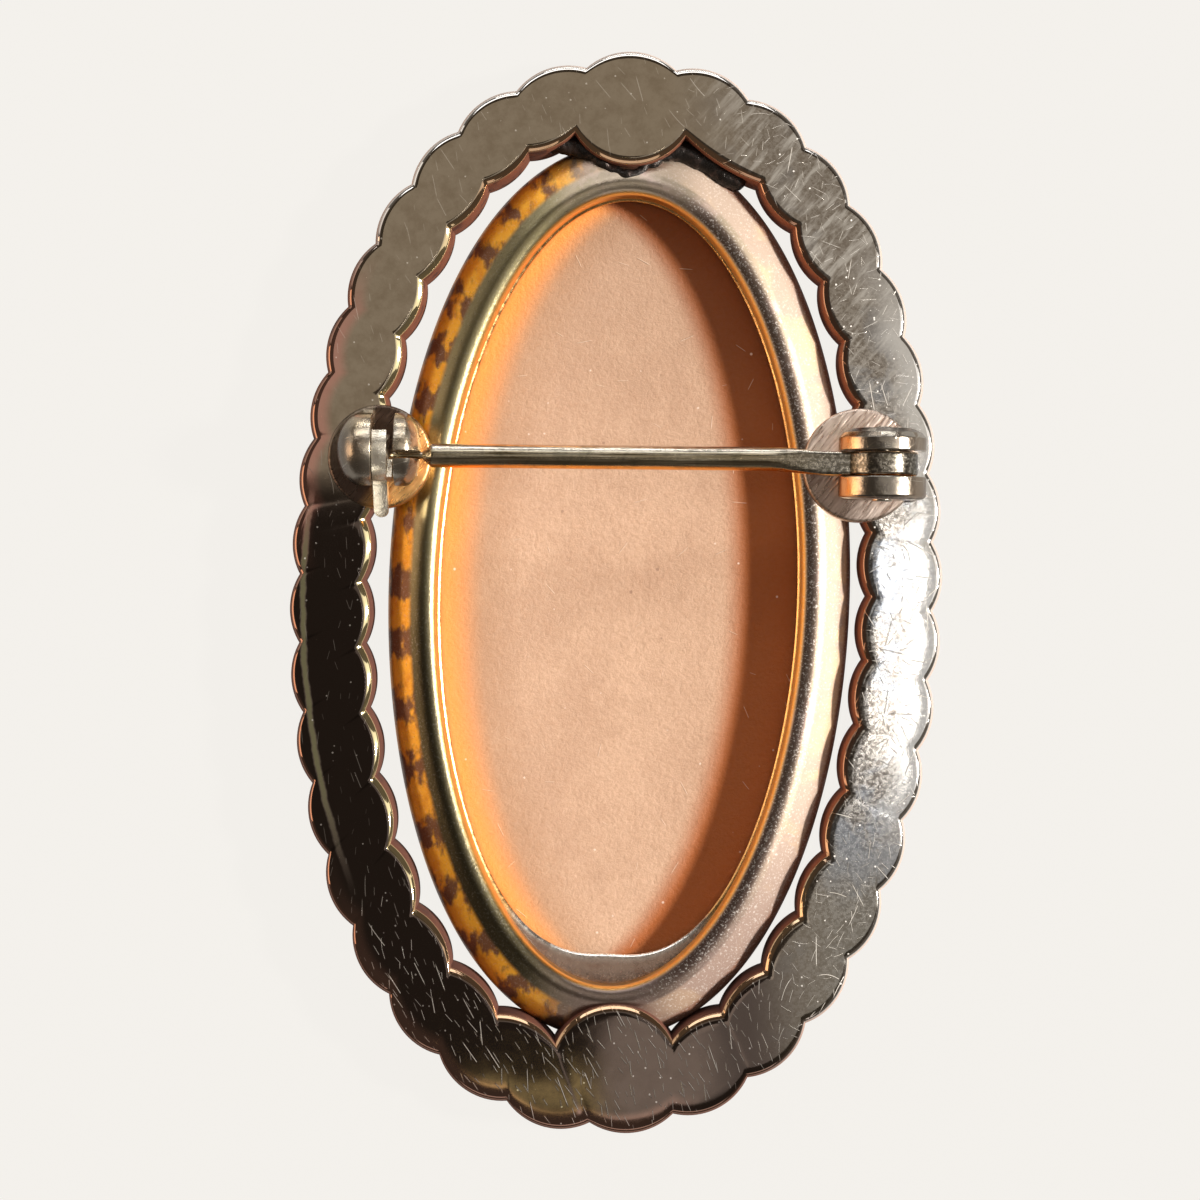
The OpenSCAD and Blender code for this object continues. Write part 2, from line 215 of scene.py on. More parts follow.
def arc(radius, start, end, steps):
    turns = [math.radians(start + (end - start) * k / steps) for k in range(steps + 1)]
    return [(radius * math.cos(t), radius * math.sin(t)) for t in turns]


def filleted(corners, steps=5):
    """A path through corners (x, y, radius), each rounded by its radius."""
    path = []
    for i, (x, y, radius) in enumerate(corners):
        here = Vector((x, y))
        if radius == 0 or i in (0, len(corners) - 1):
            path.append(here)
            continue
        back = (Vector(corners[i - 1][:2]) - here).normalized()
        on = (Vector(corners[i + 1][:2]) - here).normalized()
        half = back.angle(on) / 2
        start = here + back * radius / math.tan(half)
        end = here + on * radius / math.tan(half)
        centre = here + (back + on).normalized() * radius / math.sin(half)
        for k in range(steps + 1):
            spoke = (start - centre).slerp(end - centre, k / steps).normalized()
            path.append(centre + spoke * radius)
    return path


def smooth_path(points, steps=4):
    """A smooth curve through points, with a few points added between each two."""
    path = []
    for i in range(len(points) - 1):
        p0 = Vector(points[max(i - 1, 0)])
        p1, p2 = Vector(points[i]), Vector(points[i + 1])
        p3 = Vector(points[min(i + 2, len(points) - 1)])
        for k in range(steps):
            t = k / steps
            path.append(0.5 * (2 * p1 + (p2 - p0) * t + (2 * p0 - 5 * p1 + 4 * p2 - p3) * t * t
                               + (3 * p1 - p0 - 3 * p2 + p3) * t ** 3))
    return path + [Vector(points[-1])]


def joined_rings(rings, steps):
    """Faces between neighbouring rings of points."""
    faces = []
    for i in range(rings - 1):
        for k in range(steps):
            k2 = (k + 1) % steps
            faces.append((i * steps + k, i * steps + k2, (i + 1) * steps + k2, (i + 1) * steps + k))
    return faces


def lathe(name, profile, axis, centre, material, steps=96, smooth_below=40):
    """A turned piece: profile holds (distance along the axis, radius) from pole to pole."""
    points = []
    side = {"x": (1, 2, 0), "y": (2, 0, 1), "z": (0, 1, 2)}[axis]
    for along, radius in profile:
        for k in range(steps):
            turn = 2 * math.pi * k / steps
            at = [0, 0, 0]
            at[side[0]] = radius * math.cos(turn)
            at[side[1]] = radius * math.sin(turn)
            at[side[2]] = along
            points.append(to_brooch(*(Vector(at) + Vector(centre))))
    return make_piece(name, points, joined_rings(len(profile), steps), material, smooth_below)


def rod(name, start, end, radius, axis, centre, material, steps=48):
    """A plain round rod between two places on its axis."""
    profile = [(start, 0), (start, radius), (end, radius), (end, 0)]
    return lathe(name, profile, axis, centre, material, steps)


def block(name, low, high, material):
    """A plain box between two corners."""
    corners = [(x, y, z) for x in (low[0], high[0]) for y in (low[1], high[1]) for z in (low[2], high[2])]
    faces = [(0, 1, 3, 2), (4, 6, 7, 5), (0, 4, 5, 1), (2, 3, 7, 6), (0, 2, 6, 4), (1, 5, 7, 3)]
    return make_piece(name, [to_brooch(*c) for c in corners], faces, material)


def slab(name, outline, low, high, to_place, material):
    """A flat outline given a thickness from low to high."""
    n = len(outline)
    points = [to_place(p[0], p[1], level) for level in (low, high) for p in outline]
    faces = [tuple(range(n)), tuple(range(2 * n - 1, n - 1, -1))]
    faces += [(i, (i + 1) % n, n + (i + 1) % n, n + i) for i in range(n)]
    return make_piece(name, points, faces, material)


# The two outlines of the frame

def oval_point(a, b, degrees, fullness):
    t = math.radians(degrees)
    full = 1 + fullness * math.sin(2 * t) ** 2
    return Vector((a * math.cos(t), b * math.sin(t))) * full


def crease_angles(a, b, start, end, count, grow, low):
    """Angles that share the way from start to end among scallops of growing length."""
    steps = 90
    turn = (end - start) / steps
    rates = []
    for i in range(steps + 1):
        t = math.radians(start + i * turn)
        share = 1 + grow * math.sin(t) ** 4 - low * math.sin(t)
        rates.append(math.hypot(a * math.sin(t), b * math.cos(t)) / share)
    run = [0.0]
    for i in range(steps):
        run.append(run[-1] + (rates[i] + rates[i + 1]) / 2)
    angles = []
    for k in range(count + 1):
        want = k * run[-1] / count
        i = min(max(j for j in range(steps + 1) if run[j] <= want + 1e-9), steps - 1)
        angles.append(start + turn * (i + (want - run[i]) / (run[i + 1] - run[i])))
    return angles


def chord_outline(width, length, up, fullness, start, runs, side):
    """Rows (point, outward step, phase in the scallop, chord, radius) round one outline."""
    a, b = width / 2, length / 2
    rows = []
    for end, count, radius, rings, grow, low in runs:
        angles = crease_angles(a, b, start, end, count, grow, low)
        creases = [oval_point(a, b, t, fullness) + Vector((0, up)) for t in angles]
        for k in range(count):
            first = round(k * rings / count)
            last = round((k + 1) * rings / count)
            chord = creases[k + 1] - creases[k]
            out = Vector((chord.y, -chord.x)).normalized() * side
            for i in range(last - first):
                phase = i / (last - first)
                rows.append((creases[k] + chord * phase, out, phase, chord.length, radius))
        start = end
    return rows


def beside_opening(degrees, out):
    """A point at a distance outside the edge of the opening."""
    t = math.radians(degrees)
    a, b = OPENING_W / 2, OPENING_L / 2
    away = Vector((math.cos(t) / a, math.sin(t) / b)).normalized()
    return Vector((a * math.cos(t) + BEZEL_RIGHT, b * math.sin(t) + BEZEL_UP)) + away * out


def plain_outline(out_at, beside=None):
    """Rows like those of chord_outline for a smooth path, with the phases of a path beside it."""
    rows = []
    for i in range(BEZEL_RINGS):
        t = 360 * i / BEZEL_RINGS
        at = beside_opening(t, out_at(t))
        near = min(beside, key=lambda row: (row[0] - at).length) if beside else None
        rows.append((at, Vector((0, 0)), near[2] if near else 0.5, 0.0, 1.0))
    return rows


# Node trees

class Value:
    """What a node puts out, so that sums with it are written as sums."""

    def __init__(self, tree, socket):
        self.tree, self.socket = tree, socket

    def __add__(self, more):
        return calc("ADD", self, more)

    def __sub__(self, less):
        return calc("SUBTRACT", self, less)

    def __rsub__(self, whole):
        return calc("SUBTRACT", whole, self)

    def __mul__(self, factor):
        return calc("MULTIPLY", self, factor)

    def __truediv__(self, divisor):
        return calc("DIVIDE", self, divisor)

    def __mod__(self, divisor):
        return calc("MODULO", self, divisor)

    def __pow__(self, power):
        return calc("POWER", self, power)

    def __abs__(self):
        return calc("ABSOLUTE", self)


def wire(tree, kind, inputs=None, out=0, **settings):
    """Adds one node, sets it up, feeds its inputs and gives the chosen output, or several."""
    node = tree.nodes.new(kind)
    for key, value in settings.items():
        setattr(node, key, value)
    for key, value in (inputs or {}).items():
        if isinstance(value, Value):
            tree.links.new(value.socket, node.inputs[key])
        else:
            node.inputs[key].default_value = value
    if isinstance(out, tuple):
        return [Value(tree, node.outputs[key]) for key in out]
    return Value(tree, node.outputs[out]) if node.outputs else None


def calc(operation, a, b=0.0, clamp=False):
    tree = a.tree if isinstance(a, Value) else b.tree
    return wire(tree, "ShaderNodeMath", {0: a, 1: b}, operation=operation, use_clamp=clamp)


def calc_vector(operation, a, b=(0.0, 0.0, 0.0)):
    out = "Value" if operation == "LENGTH" else "Vector"
    return wire(a.tree, "ShaderNodeVectorMath", {0: a, 1: b}, out, operation=operation)


def scaled(vector, factor):
    return wire(vector.tree, "ShaderNodeVectorMath", {0: vector, "Scale": factor}, operation="SCALE")


def split(vector):
    """The three parts of a vector."""
    return wire(vector.tree, "ShaderNodeSeparateXYZ", {0: vector}, (0, 1, 2))


def larger(a, b):
    return calc("MAXIMUM", a, b)


def root(value):
    return calc("SQRT", value)


def between(value, low, high, start=0.0, end=1.0):
    """0 below low, 1 above high and a smooth rise between, or other ends."""
    inputs = {"Value": value, "From Min": low, "From Max": high, "To Min": start, "To Max": end}
    return wire(value.tree, "ShaderNodeMapRange", inputs, interpolation_type="SMOOTHSTEP")


def shift(share, a, b):
    """Number a turning into number b by a share."""
    return wire(share.tree, "ShaderNodeMix", {0: share, 2: a, 3: b}, data_type="FLOAT")


def tint(share, a, b):
    """Colour a turning into colour b by a share."""
    a, b = [c if isinstance(c, Value) else c + (1.0,) for c in (a, b)]
    return wire(share.tree, "ShaderNodeMix", {0: share, 6: a, 7: b}, 2, data_type="RGBA")


def coats(base, *layers):
    """A colour with others painted over it in turn, each (share, colour)."""
    for share, colour in layers:
        base = tint(share, base, colour)
    return base


def new_tree(name, kind, inputs, outputs):
    """A node group whose inputs are numbers or kinds of socket, and whose outputs are kinds."""
    tree = bpy.data.node_groups.new(name, kind + "NodeTree")
    for title, value in inputs.items():
        sort = value if isinstance(value, str) else type(value).__name__.capitalize()
        item = tree.interface.new_socket(name=title, in_out="INPUT", socket_type="NodeSocket" + sort)
        if sort != value:
            item.default_value = value
    for title, sort in outputs.items():
        tree.interface.new_socket(name=title, in_out="OUTPUT", socket_type="NodeSocket" + sort)
    given = {socket.name: Value(tree, socket) for socket in tree.nodes.new("NodeGroupInput").outputs}
    made = tree.nodes.new("NodeGroupOutput").inputs

    def give(title, value):
        tree.links.new(value.socket, made[title])

    return tree, given, give


# Geometry Nodes

def stored_value(tree, name, kind="FLOAT"):
    """A value that the mesh carries."""
    return wire(tree, "GeometryNodeInputNamedAttribute", {"Name": name}, "Attribute", data_type=kind)


def shape_of(tree, thing):
    """The points or mesh of an object given to a tree."""
    return wire(tree, "GeometryNodeObjectInfo", {"Object": thing}, "Geometry")


def real_mesh(tree, shape, material):
    """A tree's last steps: real geometry with its material."""
    shape = wire(tree, "GeometryNodeRealizeInstances", {"Geometry": shape})
    return wire(tree, "GeometryNodeSetMaterial", {"Geometry": shape, "Material": material})


def band_tree():
    """A closed band whose section is swept between an outer and an inner outline."""
    tree, given, give = new_tree("band_between_outlines", "Geometry", {
        "Outer": "Object", "Inner": "Object", "Section": "Object", "Rings": 100,
        "Section Points": 20, "Groove Depth": 0.0, "Back Height": 1.0, "Material": "Material"},
        {"Geometry": "Geometry"})

    def arc_height(across):
        return root(stored_value(tree, "radius") ** 2.0 - across ** 2.0)

    def scalloped(outline):
        chord = stored_value(tree, "chord")
        along = (stored_value(tree, "phase") - 0.5) * chord
        rise = arc_height(along) - arc_height(chord * 0.5)
        offset = scaled(stored_value(tree, "out", "FLOAT_VECTOR"), rise)
        return wire(tree, "GeometryNodeSetPosition", {"Geometry": outline, "Offset": offset})

    def sampled(geometry, value, index, kind="FLOAT_VECTOR"):
        return wire(tree, "GeometryNodeSampleIndex",
                    {"Geometry": geometry, "Value": value, "Index": index},
                    data_type=kind, domain="POINT")

    rows = given["Section Points"] + 1.0
    index = wire(tree, "GeometryNodeInputIndex")
    ring = calc("FLOOR", index / rows) % given["Rings"]
    position = wire(tree, "GeometryNodeInputPosition")
    outer = scalloped(shape_of(tree, given["Outer"]))
    inner = scalloped(shape_of(tree, given["Inner"]))
    outer_at = sampled(outer, position, ring)
    across = calc_vector("SUBTRACT", sampled(inner, position, ring), outer_at)
    place = index % rows % given["Section Points"]
    edge_share, past, height = split(sampled(shape_of(tree, given["Section"]), position, place))
    flat = calc_vector("ADD", outer_at, scaled(across, edge_share))
    flat = calc_vector("ADD", flat, scaled(calc_vector("NORMALIZE", across), past))

    share = edge_share + past / calc_vector("LENGTH", across)
    on_back = between(given["Back Height"] - height, 0.9 * MM, 0.0)

    def notch(outline):
        """0 on the crown of a scallop and 1 in the crease between two."""
        return abs(sampled(outline, stored_value(tree, "phase"), ring, "FLOAT") * 2.0 - 1.0)

    def groove(outline, nearness):
        edge = notch(outline)
        return (edge ** 14.0 + edge ** 3.0 * 0.25) * nearness

    near_outer = between(share, 0.02, 0.62, 1.0, 0.12)
    near_inner = between(share, 0.38, 0.98, 0.12, 1.0)
    depth = on_back * (groove(outer, near_outer) + groove(inner, near_inner))
    x, y, _ = split(flat)
    final = wire(tree, "ShaderNodeCombineXYZ", {0: x, 1: y, 2: height - depth * given["Groove Depth"]})

    band = wire(tree, "GeometryNodeMeshGrid", {"Vertices X": given["Rings"] + 1.0, "Vertices Y": rows})
    gone = calc_vector("LENGTH", calc_vector("SUBTRACT", flat, outer_at))
    for title, value in (("groove", depth), ("notch", notch(inner)), ("reach", gone)):
        band = wire(tree, "GeometryNodeStoreNamedAttribute",
                    {"Geometry": band, "Name": title, "Value": value}, data_type="FLOAT", domain="POINT")
    band = wire(tree, "GeometryNodeSetPosition", {"Geometry": band, "Position": final})
    band = wire(tree, "GeometryNodeMergeByDistance", {"Geometry": band, "Distance": SAME_POINT})
    give("Geometry", real_mesh(tree, band, given["Material"]))
    return tree


def solder_tree():
    """A lumpy seam: beads of mixed sizes scattered beside given points and melted into one skin."""
    tree, given, give = new_tree("solder_seam", "Geometry", {
        "Points": "Object", "Bead Radius": 0.5 * MM, "Scatter": 0.1 * MM, "Seed": 1,
        "Material": "Material"}, {"Geometry": "Geometry"})
    spots = shape_of(tree, given["Points"])
    away = wire(tree, "FunctionNodeRandomValue", {"Min": (-1.0, -1.0, -0.4), "Max": (1.0, 1.0, 0.4),
                                                  "Seed": given["Seed"]}, data_type="FLOAT_VECTOR")
    spots = wire(tree, "GeometryNodeSetPosition",
                 {"Geometry": spots, "Offset": scaled(away, given["Scatter"])})
    spots = wire(tree, "GeometryNodeMeshToPoints", {"Mesh": spots})
    bead = wire(tree, "GeometryNodeMeshIcoSphere", {"Radius": given["Bead Radius"], "Subdivisions": 3})
    size = wire(tree, "FunctionNodeRandomValue", {2: 0.75, 3: 1.1, "Seed": given["Seed"]}, 1,
                data_type="FLOAT")
    seam = wire(tree, "GeometryNodeInstanceOnPoints",
                {"Points": spots, "Instance": bead, "Scale": size * stored_value(tree, "share")})
    seam = wire(tree, "GeometryNodeRealizeInstances", {"Geometry": seam})
    seam = wire(tree, "GeometryNodeMeshBoolean", {"Mesh 2": seam, "Self Intersection": True},
                operation="UNION", solver="EXACT")
    melted = wire(tree, "GeometryNodeBlurAttribute",
                  {"Value": wire(tree, "GeometryNodeInputPosition"), "Iterations": 10},
                  data_type="FLOAT_VECTOR")
    seam = wire(tree, "GeometryNodeSetPosition", {"Geometry": seam, "Position": melted})
    give("Geometry", real_mesh(tree, seam, given["Material"]))
    return tree


def point_set(name, points, **attributes):
    """A helper mesh of bare points that carries values for a node tree."""
    mesh = bpy.data.meshes.new(name)
    mesh.from_pydata([Vector(p) * MM for p in points], [], [])
    for title, values in attributes.items():
        vectors = isinstance(values[0], Vector)
        layer = mesh.attributes.new(title, "FLOAT_VECTOR" if vectors else "FLOAT", "POINT")
        for i, value in enumerate(values):
            setattr(layer.data[i], "vector" if vectors else "value", value)
    return add(name, mesh)


def outline_set(name, rows):
    at, out, phase, chord, radius = zip(*rows)
    return point_set(name, [(p.x, p.y, 0) for p in at], out=[Vector((p.x, p.y, 0)) for p in out],
                     phase=phase, chord=[c * MM for c in chord], radius=[r * MM for r in radius])


def run_tree(name, tree, values, smooth_below=40):
    """Runs a node tree with named values and keeps its result as a plain mesh."""
    piece = add(name, bpy.data.meshes.new(name))
    step = piece.modifiers.new("Shape", "NODES")
    step.node_group = tree
    for item in tree.interface.items_tree:
        if item.in_out == "INPUT" and item.name in values:
            step[item.identifier] = values[item.name]
    settle(piece)
    for value in values.values():
        if isinstance(value, bpy.types.Object):
            bpy.data.objects.remove(value)
    tidy_mesh(piece, smooth_below)
    return piece


# Shared effects

def hairline_group():
    """Straight hairline scratches: one or none in each cell of a random pattern."""
    tree, given, give = new_tree("hairlines", "Shader", {
        "Place": "Vector", "Fineness": 1.0, "Angle": 0.0, "Spread": 0.4, "Length": 0.5,
        "Width": 0.02, "Cover": 0.5}, {"Lines": "Float"})
    colour, middle = wire(tree, "ShaderNodeTexVoronoi",
                          {"Vector": given["Place"], "Scale": given["Fineness"]},
                          ("Color", "Position"), voronoi_dimensions="2D")
    turn_chance, cover_chance, length_chance = split(colour)
    angle = given["Angle"] + (turn_chance - 0.5) * given["Spread"]
    away = calc_vector("SUBTRACT", given["Place"], middle)
    turned = wire(tree, "ShaderNodeVectorRotate", {"Vector": away, "Angle": angle * -1.0},
                  rotation_type="Z_AXIS")
    along, across, _ = split(turned)
    reach = given["Length"] * (length_chance + 0.4)
    line = between(abs(across), 0.0, given["Width"], 1.0, 0.0)
    ends = between(abs(along), reach * 0.6, reach, 1.0, 0.0)
    shown = calc("LESS_THAN", cover_chance, given["Cover"])
    give("Lines", line * ends * shown * (length_chance * 0.65 + 0.35))
    return tree


def speck_group():
    """Small round specks in some cells of a random pattern."""
    tree, given, give = new_tree("specks", "Shader", {
        "Place": "Vector", "Fineness": 3.0, "Size": 0.2, "Cover": 0.3}, {"Mask": "Float"})
    colour, distance = wire(tree, "ShaderNodeTexVoronoi",
                            {"Vector": given["Place"], "Scale": given["Fineness"]},
                            ("Color", "Distance"))
    _, cover_chance, size_chance = split(colour)
    size = given["Size"] * (size_chance + 0.4)
    dot = between(distance, size * 0.5, size, 1.0, 0.0)
    give("Mask", dot * calc("LESS_THAN", cover_chance, given["Cover"]))
    return tree


def blotch_group():
    """Soft irregular patches of a given size."""
    tree, given, give = new_tree("blotches", "Shader", {
        "Place": "Vector", "Fineness": 1.0, "Cover": 0.5}, {"Mask": "Float"})
    field = wire(tree, "ShaderNodeTexNoise", {
        "Vector": given["Place"], "Scale": given["Fineness"], "Detail": 4.0, "Roughness": 0.6,
        "Distortion": 0.6})
    low = 0.62 - given["Cover"] * 0.3
    give("Mask", between(field, low, low + 0.14))
    return tree


def grain_group():
    """Fine grain as a height between 0 and 1."""
    tree, given, give = new_tree("grain", "Shader", {"Place": "Vector", "Fineness": 8.0},
                                 {"Height": "Float"})
    give("Height", wire(tree, "ShaderNodeTexNoise", {
        "Vector": given["Place"], "Scale": given["Fineness"], "Detail": 5.0, "Roughness": 0.7}))
    return tree


def worn_edge_group():
    """Where edges stand out and are rubbed bright, and where hollows keep dirt."""
    tree, given, give = new_tree("worn_edges", "Shader", {"Reach": 0.03},
                                 {"Edge": "Float", "Hollow": "Float"})
    away = wire(tree, "ShaderNodeNewGeometry", out="Pointiness") - 0.5
    give("Edge", calc("DIVIDE", away, given["Reach"], clamp=True))
    give("Hollow", calc("DIVIDE", away * -1.0, given["Reach"], clamp=True))
    return tree


HAIRLINES = hairline_group()
SPECKS = speck_group()
BLOTCHES = blotch_group()
GRAIN = grain_group()
WORN = worn_edge_group()


class Finish:
    """A material being built: places on the piece in millimetres, shared effects and the shader."""

    def __init__(self, name, metallic=1.0):
        self.material = bpy.data.materials.new(name)
        self.material.use_nodes = True
        self.tree = self.material.node_tree
        self.shader = self.tree.nodes["Principled BSDF"].inputs
        self.shader["Metallic"].default_value = metallic
        place, normal = wire(self.tree, "ShaderNodeTexCoord", out=("Object", "Normal"))
        self.place = scaled(place, 1 / MM)
        self.x, self.y, _ = split(self.place)
        self.facing_x, self.facing_y, self.facing_up = split(normal)

    def effect(self, group, **numbers):
        return wire(self.tree, "ShaderNodeGroup", {"Place": self.place, **numbers}, node_tree=group)

    def hairlines(self, fineness, cover, length=0.5, width=0.02, angle=0.0, spread=6.3):
        return self.effect(HAIRLINES, Fineness=fineness, Cover=cover, Length=length, Width=width,
                           Angle=angle, Spread=spread)

    def specks(self, fineness, size, cover):
        return self.effect(SPECKS, Fineness=fineness, Size=size, Cover=cover)

    def blotches(self, fineness, cover):
        return self.effect(BLOTCHES, Fineness=fineness, Cover=cover)

    def grain(self, fineness):
        return self.effect(GRAIN, Fineness=fineness)

    def worn(self, which, reach):
        return wire(self.tree, "ShaderNodeGroup", {"Reach": reach}, which, node_tree=WORN)

    def stored(self, name):
        """A value that the piece's mesh carries."""
        return wire(self.tree, "ShaderNodeAttribute", out="Fac", attribute_name=name)

    def strokes(self, degrees, length, width, detail=3.0):
        """Noise drawn out into strokes of a given direction, length and width in millimetres."""
        along = wire(self.tree, "ShaderNodeMapping", {
            "Vector": self.place, "Rotation": (0, 0, math.radians(degrees)),
            "Scale": (length, width, width)}, vector_type="TEXTURE")
        return wire(self.tree, "ShaderNodeTexNoise", {"Vector": along, "Scale": 1.0, "Detail": detail})

    def done(self, colour, roughness, *bumps, metallic=None):
        """Feeds the shader. Bumps lie on each other, each (height, distance in millimetres)."""
        feeds = {"Base Color": colour, "Roughness": roughness}
        if metallic is not None:
            feeds["Metallic"] = metallic
        below = {}
        for height, distance in bumps:
            inputs = {"Height": height, "Distance": distance * MM, "Strength": 1.0, **below}
            below = {"Normal": wire(self.tree, "ShaderNodeBump", inputs)}
        for name, value in {**feeds, **below}.items():
            self.tree.links.new(value.socket, self.shader[name])
        return self.material


# Finishes

def rubbed_metal(f, reach):
    """The hinge side of the frame's back: brushed and speckled, and painted silvery as a sheen, lightest
    in a painted highlight near the outer edge. Gives speckles as well.
    """
    speckle = between(f.grain(7.0), 0.42, 0.58)
    upper = between(f.y, 3.0, 15.0)
    brushed = between(f.strokes(50, 1.3, 0.28), 0.45, 0.7) * (upper + 0.2)
    # Painted highlight: the back is lighter near its outer edge on the hinge side
    painted_sheen = between(reach, 1.9, 0.5) * between(f.y, -13.0, -8.0) * between(f.y, 17.0, 11.0)
    rubbed = coats(
        tint(speckle, (0.22, 0.19, 0.165), (0.68, 0.64, 0.60)),
        (f.blotches(0.4, 0.4) * 0.45, (0.46, 0.54, 0.66)),
        (upper * 0.75, (0.27, 0.225, 0.18)),
        (brushed * 0.6, (0.80, 0.76, 0.71)),
        (painted_sheen * 0.8, (0.92, 0.90, 0.88)),
        (between(f.y, -8.0, -15.0) * 0.7, (0.27, 0.24, 0.19)))
    return rubbed, speckle


def olive_line(f):
    """A painted reflection: a thin line that wanders along the frame's outer edge."""
    x, y = f.x / (FRAME_W / 2), f.y / (FRAME_L / 2)
    wander = f.grain(0.16) * 0.05 + 0.957
    line = between(abs(root(x * x + y * y) - wander), 0.013, 0.004)
    return line * between(f.y, 5.0, 1.0) * between(f.y, -14.0, -8.0)


def frame_finish():
    """Worn mirror back: rubbed and painted silvery as a sheen on the hinge side, and painted dark as a
    reflection on the catch side and at the lower end.
    """
    f = Finish("worn_gold_frame")
    left = between(f.x, 2.0, -5.0)
    right = between(f.x + f.y * 0.12, 4.0, 9.5)
    lower = between(f.y, 6.0, 3.0)
    bottom = between(f.y, -11.0, -17.0)
    high = between(f.y, 13.0, 18.0)
    reach = f.stored("reach") / MM
    outside = between(reach, 1.1, 0.5)
    # Painted dark reflection on the catch side and at the lower end, on the back and on its walls
    dark = larger(left * lower, bottom) * (1 - right)
    on_back = between(f.facing_up, 0.35, 0.8)
    level = between(f.facing_up, 0.9, 0.985)
    soft = between(f.grain(1.2), 0.35, 0.7)
    rosy = outside * left * between(f.y, 0.0, 4.0) * between(f.y, 15.0, 11.0)
    rubbed, speckle = rubbed_metal(f, reach)

    angle = left * lower * (1 - bottom) * math.radians(-22) + math.radians(-66)
    spread = right * 5.5 + 0.8
    cover = larger(right, bottom) * 0.5 + 0.2
    lines = f.hairlines(0.9, cover, 0.6, 0.03, angle, spread)
    short = f.hairlines(2.2, cover, 0.26, 0.022, angle, spread)
    lines = larger(lines, short * 0.8) * (bottom * 0.35 + right * 0.75 + 0.3)
    crease = between(f.stored("groove"), 0.5, 1.1) * dark
    # Painted reflection: an olive line near the outer edge on the catch side
    olive = olive_line(f) * left * level
    back = coats(
        tint(soft, TAUPE_GOLD, (0.28, 0.22, 0.155)),
        (dark * 0.93, (0.105, 0.078, 0.068)),
        (outside * bottom * between(f.x, 5.0, 1.0) * 0.8, (0.40, 0.24, 0.19)),
        (rosy * 0.7, (0.62, 0.30, 0.24)),
        (right, rubbed),
        (lines, (0.92, 0.87, 0.80)),
        (crease * (1 - bottom) * 0.5, BLACK_OXIDE),
        (olive * 0.9, (0.085, 0.08, 0.042)))

    # Painted highlight: on the hinge side and at the top, the walls and the outer rim are painted pale
    pale = larger(right, high)
    wall = coats(
        tint(f.blotches(0.9, 0.4), (0.20, 0.065, 0.032), (0.09, 0.03, 0.018)),
        (right * 0.7, (0.46, 0.13, 0.05)),
        (dark * 0.6, (0.14, 0.06, 0.045)),
        (pale * outside * 0.8, (0.80, 0.64, 0.55)))
    outer_rim = tint(pale, (0.34, 0.19, 0.14), (0.95, 0.92, 0.88))
    inner_rim = tint(right, (1.0, 0.86, 0.50), (0.34, 0.20, 0.14))
    inner_rim = tint(larger(bottom, high) * 0.8, inner_rim, (0.50, 0.27, 0.17))
    back = tint(level, tint(outside, inner_rim, outer_rim), back)
    speck = f.specks(2.8, 0.13, 0.3) * (right * 0.7 + 0.3)
    back = tint(speck * level, back, RUBBED_BRIGHT)

    dull = larger(larger(lines * 0.6, speck) * level, olive)
    rough = soft * 0.025 + 0.045 + lines * 0.25 + right * speckle * 0.04
    peel = f.grain(4.0) * (right + 0.1)
    return f.done(tint(on_back, wall, back), shift(on_back, 0.8, rough),
                  (f.strokes(0, 3.0, 3.0, 0.5), 0.009), (peel, 0.0006), (lines, 0.003),
                  metallic=shift(on_back, 0.2, 1 - dull))


def bezel_finish():
    """Rounded rim: a painted reflection of orange and brown patches on its left flank, rosy on the right
    with a painted dark band inside the crest, a gold lip inside.
    """
    f = Finish("bezel_gold")
    across = (f.x - BEZEL_RIGHT) / (OPENING_W / 2)
    left = between(across, -0.1, -0.5)
    right = between(across, 0.05, 0.45)
    reach = f.stored("reach") / MM
    lower = between(f.y, 6.0, -4.0)
    low_end = between(f.y, -6.0, -16.0)
    outside = between(reach, 1.1, 1.35) * left
    rosy = between(reach, 0.95, 1.15) * right
    # Painted dark reflection: a band on the inner slope of the crest, used on the right
    groove = between(reach, 0.14, 0.28) * between(reach, 0.95, 0.6)

    crown = coats(
        tint(f.blotches(0.35, 0.4), (0.44, 0.36, 0.27), (0.62, 0.48, 0.41)),
        (left, (0.34, 0.29, 0.16)),
        (left * lower * 0.85, (0.06, 0.05, 0.03)),
        (low_end * (1 - left) * 0.75, (0.20, 0.14, 0.125)),
        (groove * right * 0.9, (0.055, 0.035, 0.03)))
    # Painted reflection of the frame's sunlit inner walls in the left flank: orange patches with brown
    # between, one for each scallop
    patch = f.stored("notch") + (f.strokes(0, 0.45, 0.9) - 0.5) * 2.4
    flank = tint(between(f.grain(1.5), 0.4, 0.75), (1.0, 0.47, 0.04), (0.78, 0.27, 0.02))
    flank = tint(between(patch, 0.3, 0.8), flank, (0.20, 0.085, 0.04))
    satin = tint(f.blotches(0.3, 0.45), (0.54, 0.41, 0.32), (0.74, 0.54, 0.34))
    satin = tint(low_end * 0.65, satin, (0.24, 0.15, 0.13))

    sparkle = between(f.grain(10.0), 0.52, 0.68) * (right * 0.36 + 0.12)
    base = coats(
        crown,
        (rosy, satin),
        (outside, flank),
        (between(reach, 1.95, 2.15) * right, (0.26, 0.13, 0.085)),
        (between(reach, 0.22, 0.08), LIP_GOLD),
        (sparkle, (0.97, 0.92, 0.86)))
    dull = outside * 0.45 + rosy * 0.85
    rough = right * 0.26 + 0.24 + f.grain(3.0) * 0.1
    return f.done(base, rough, (f.grain(0.6), 0.02), (f.grain(8.0), 0.009), metallic=1 - dull)


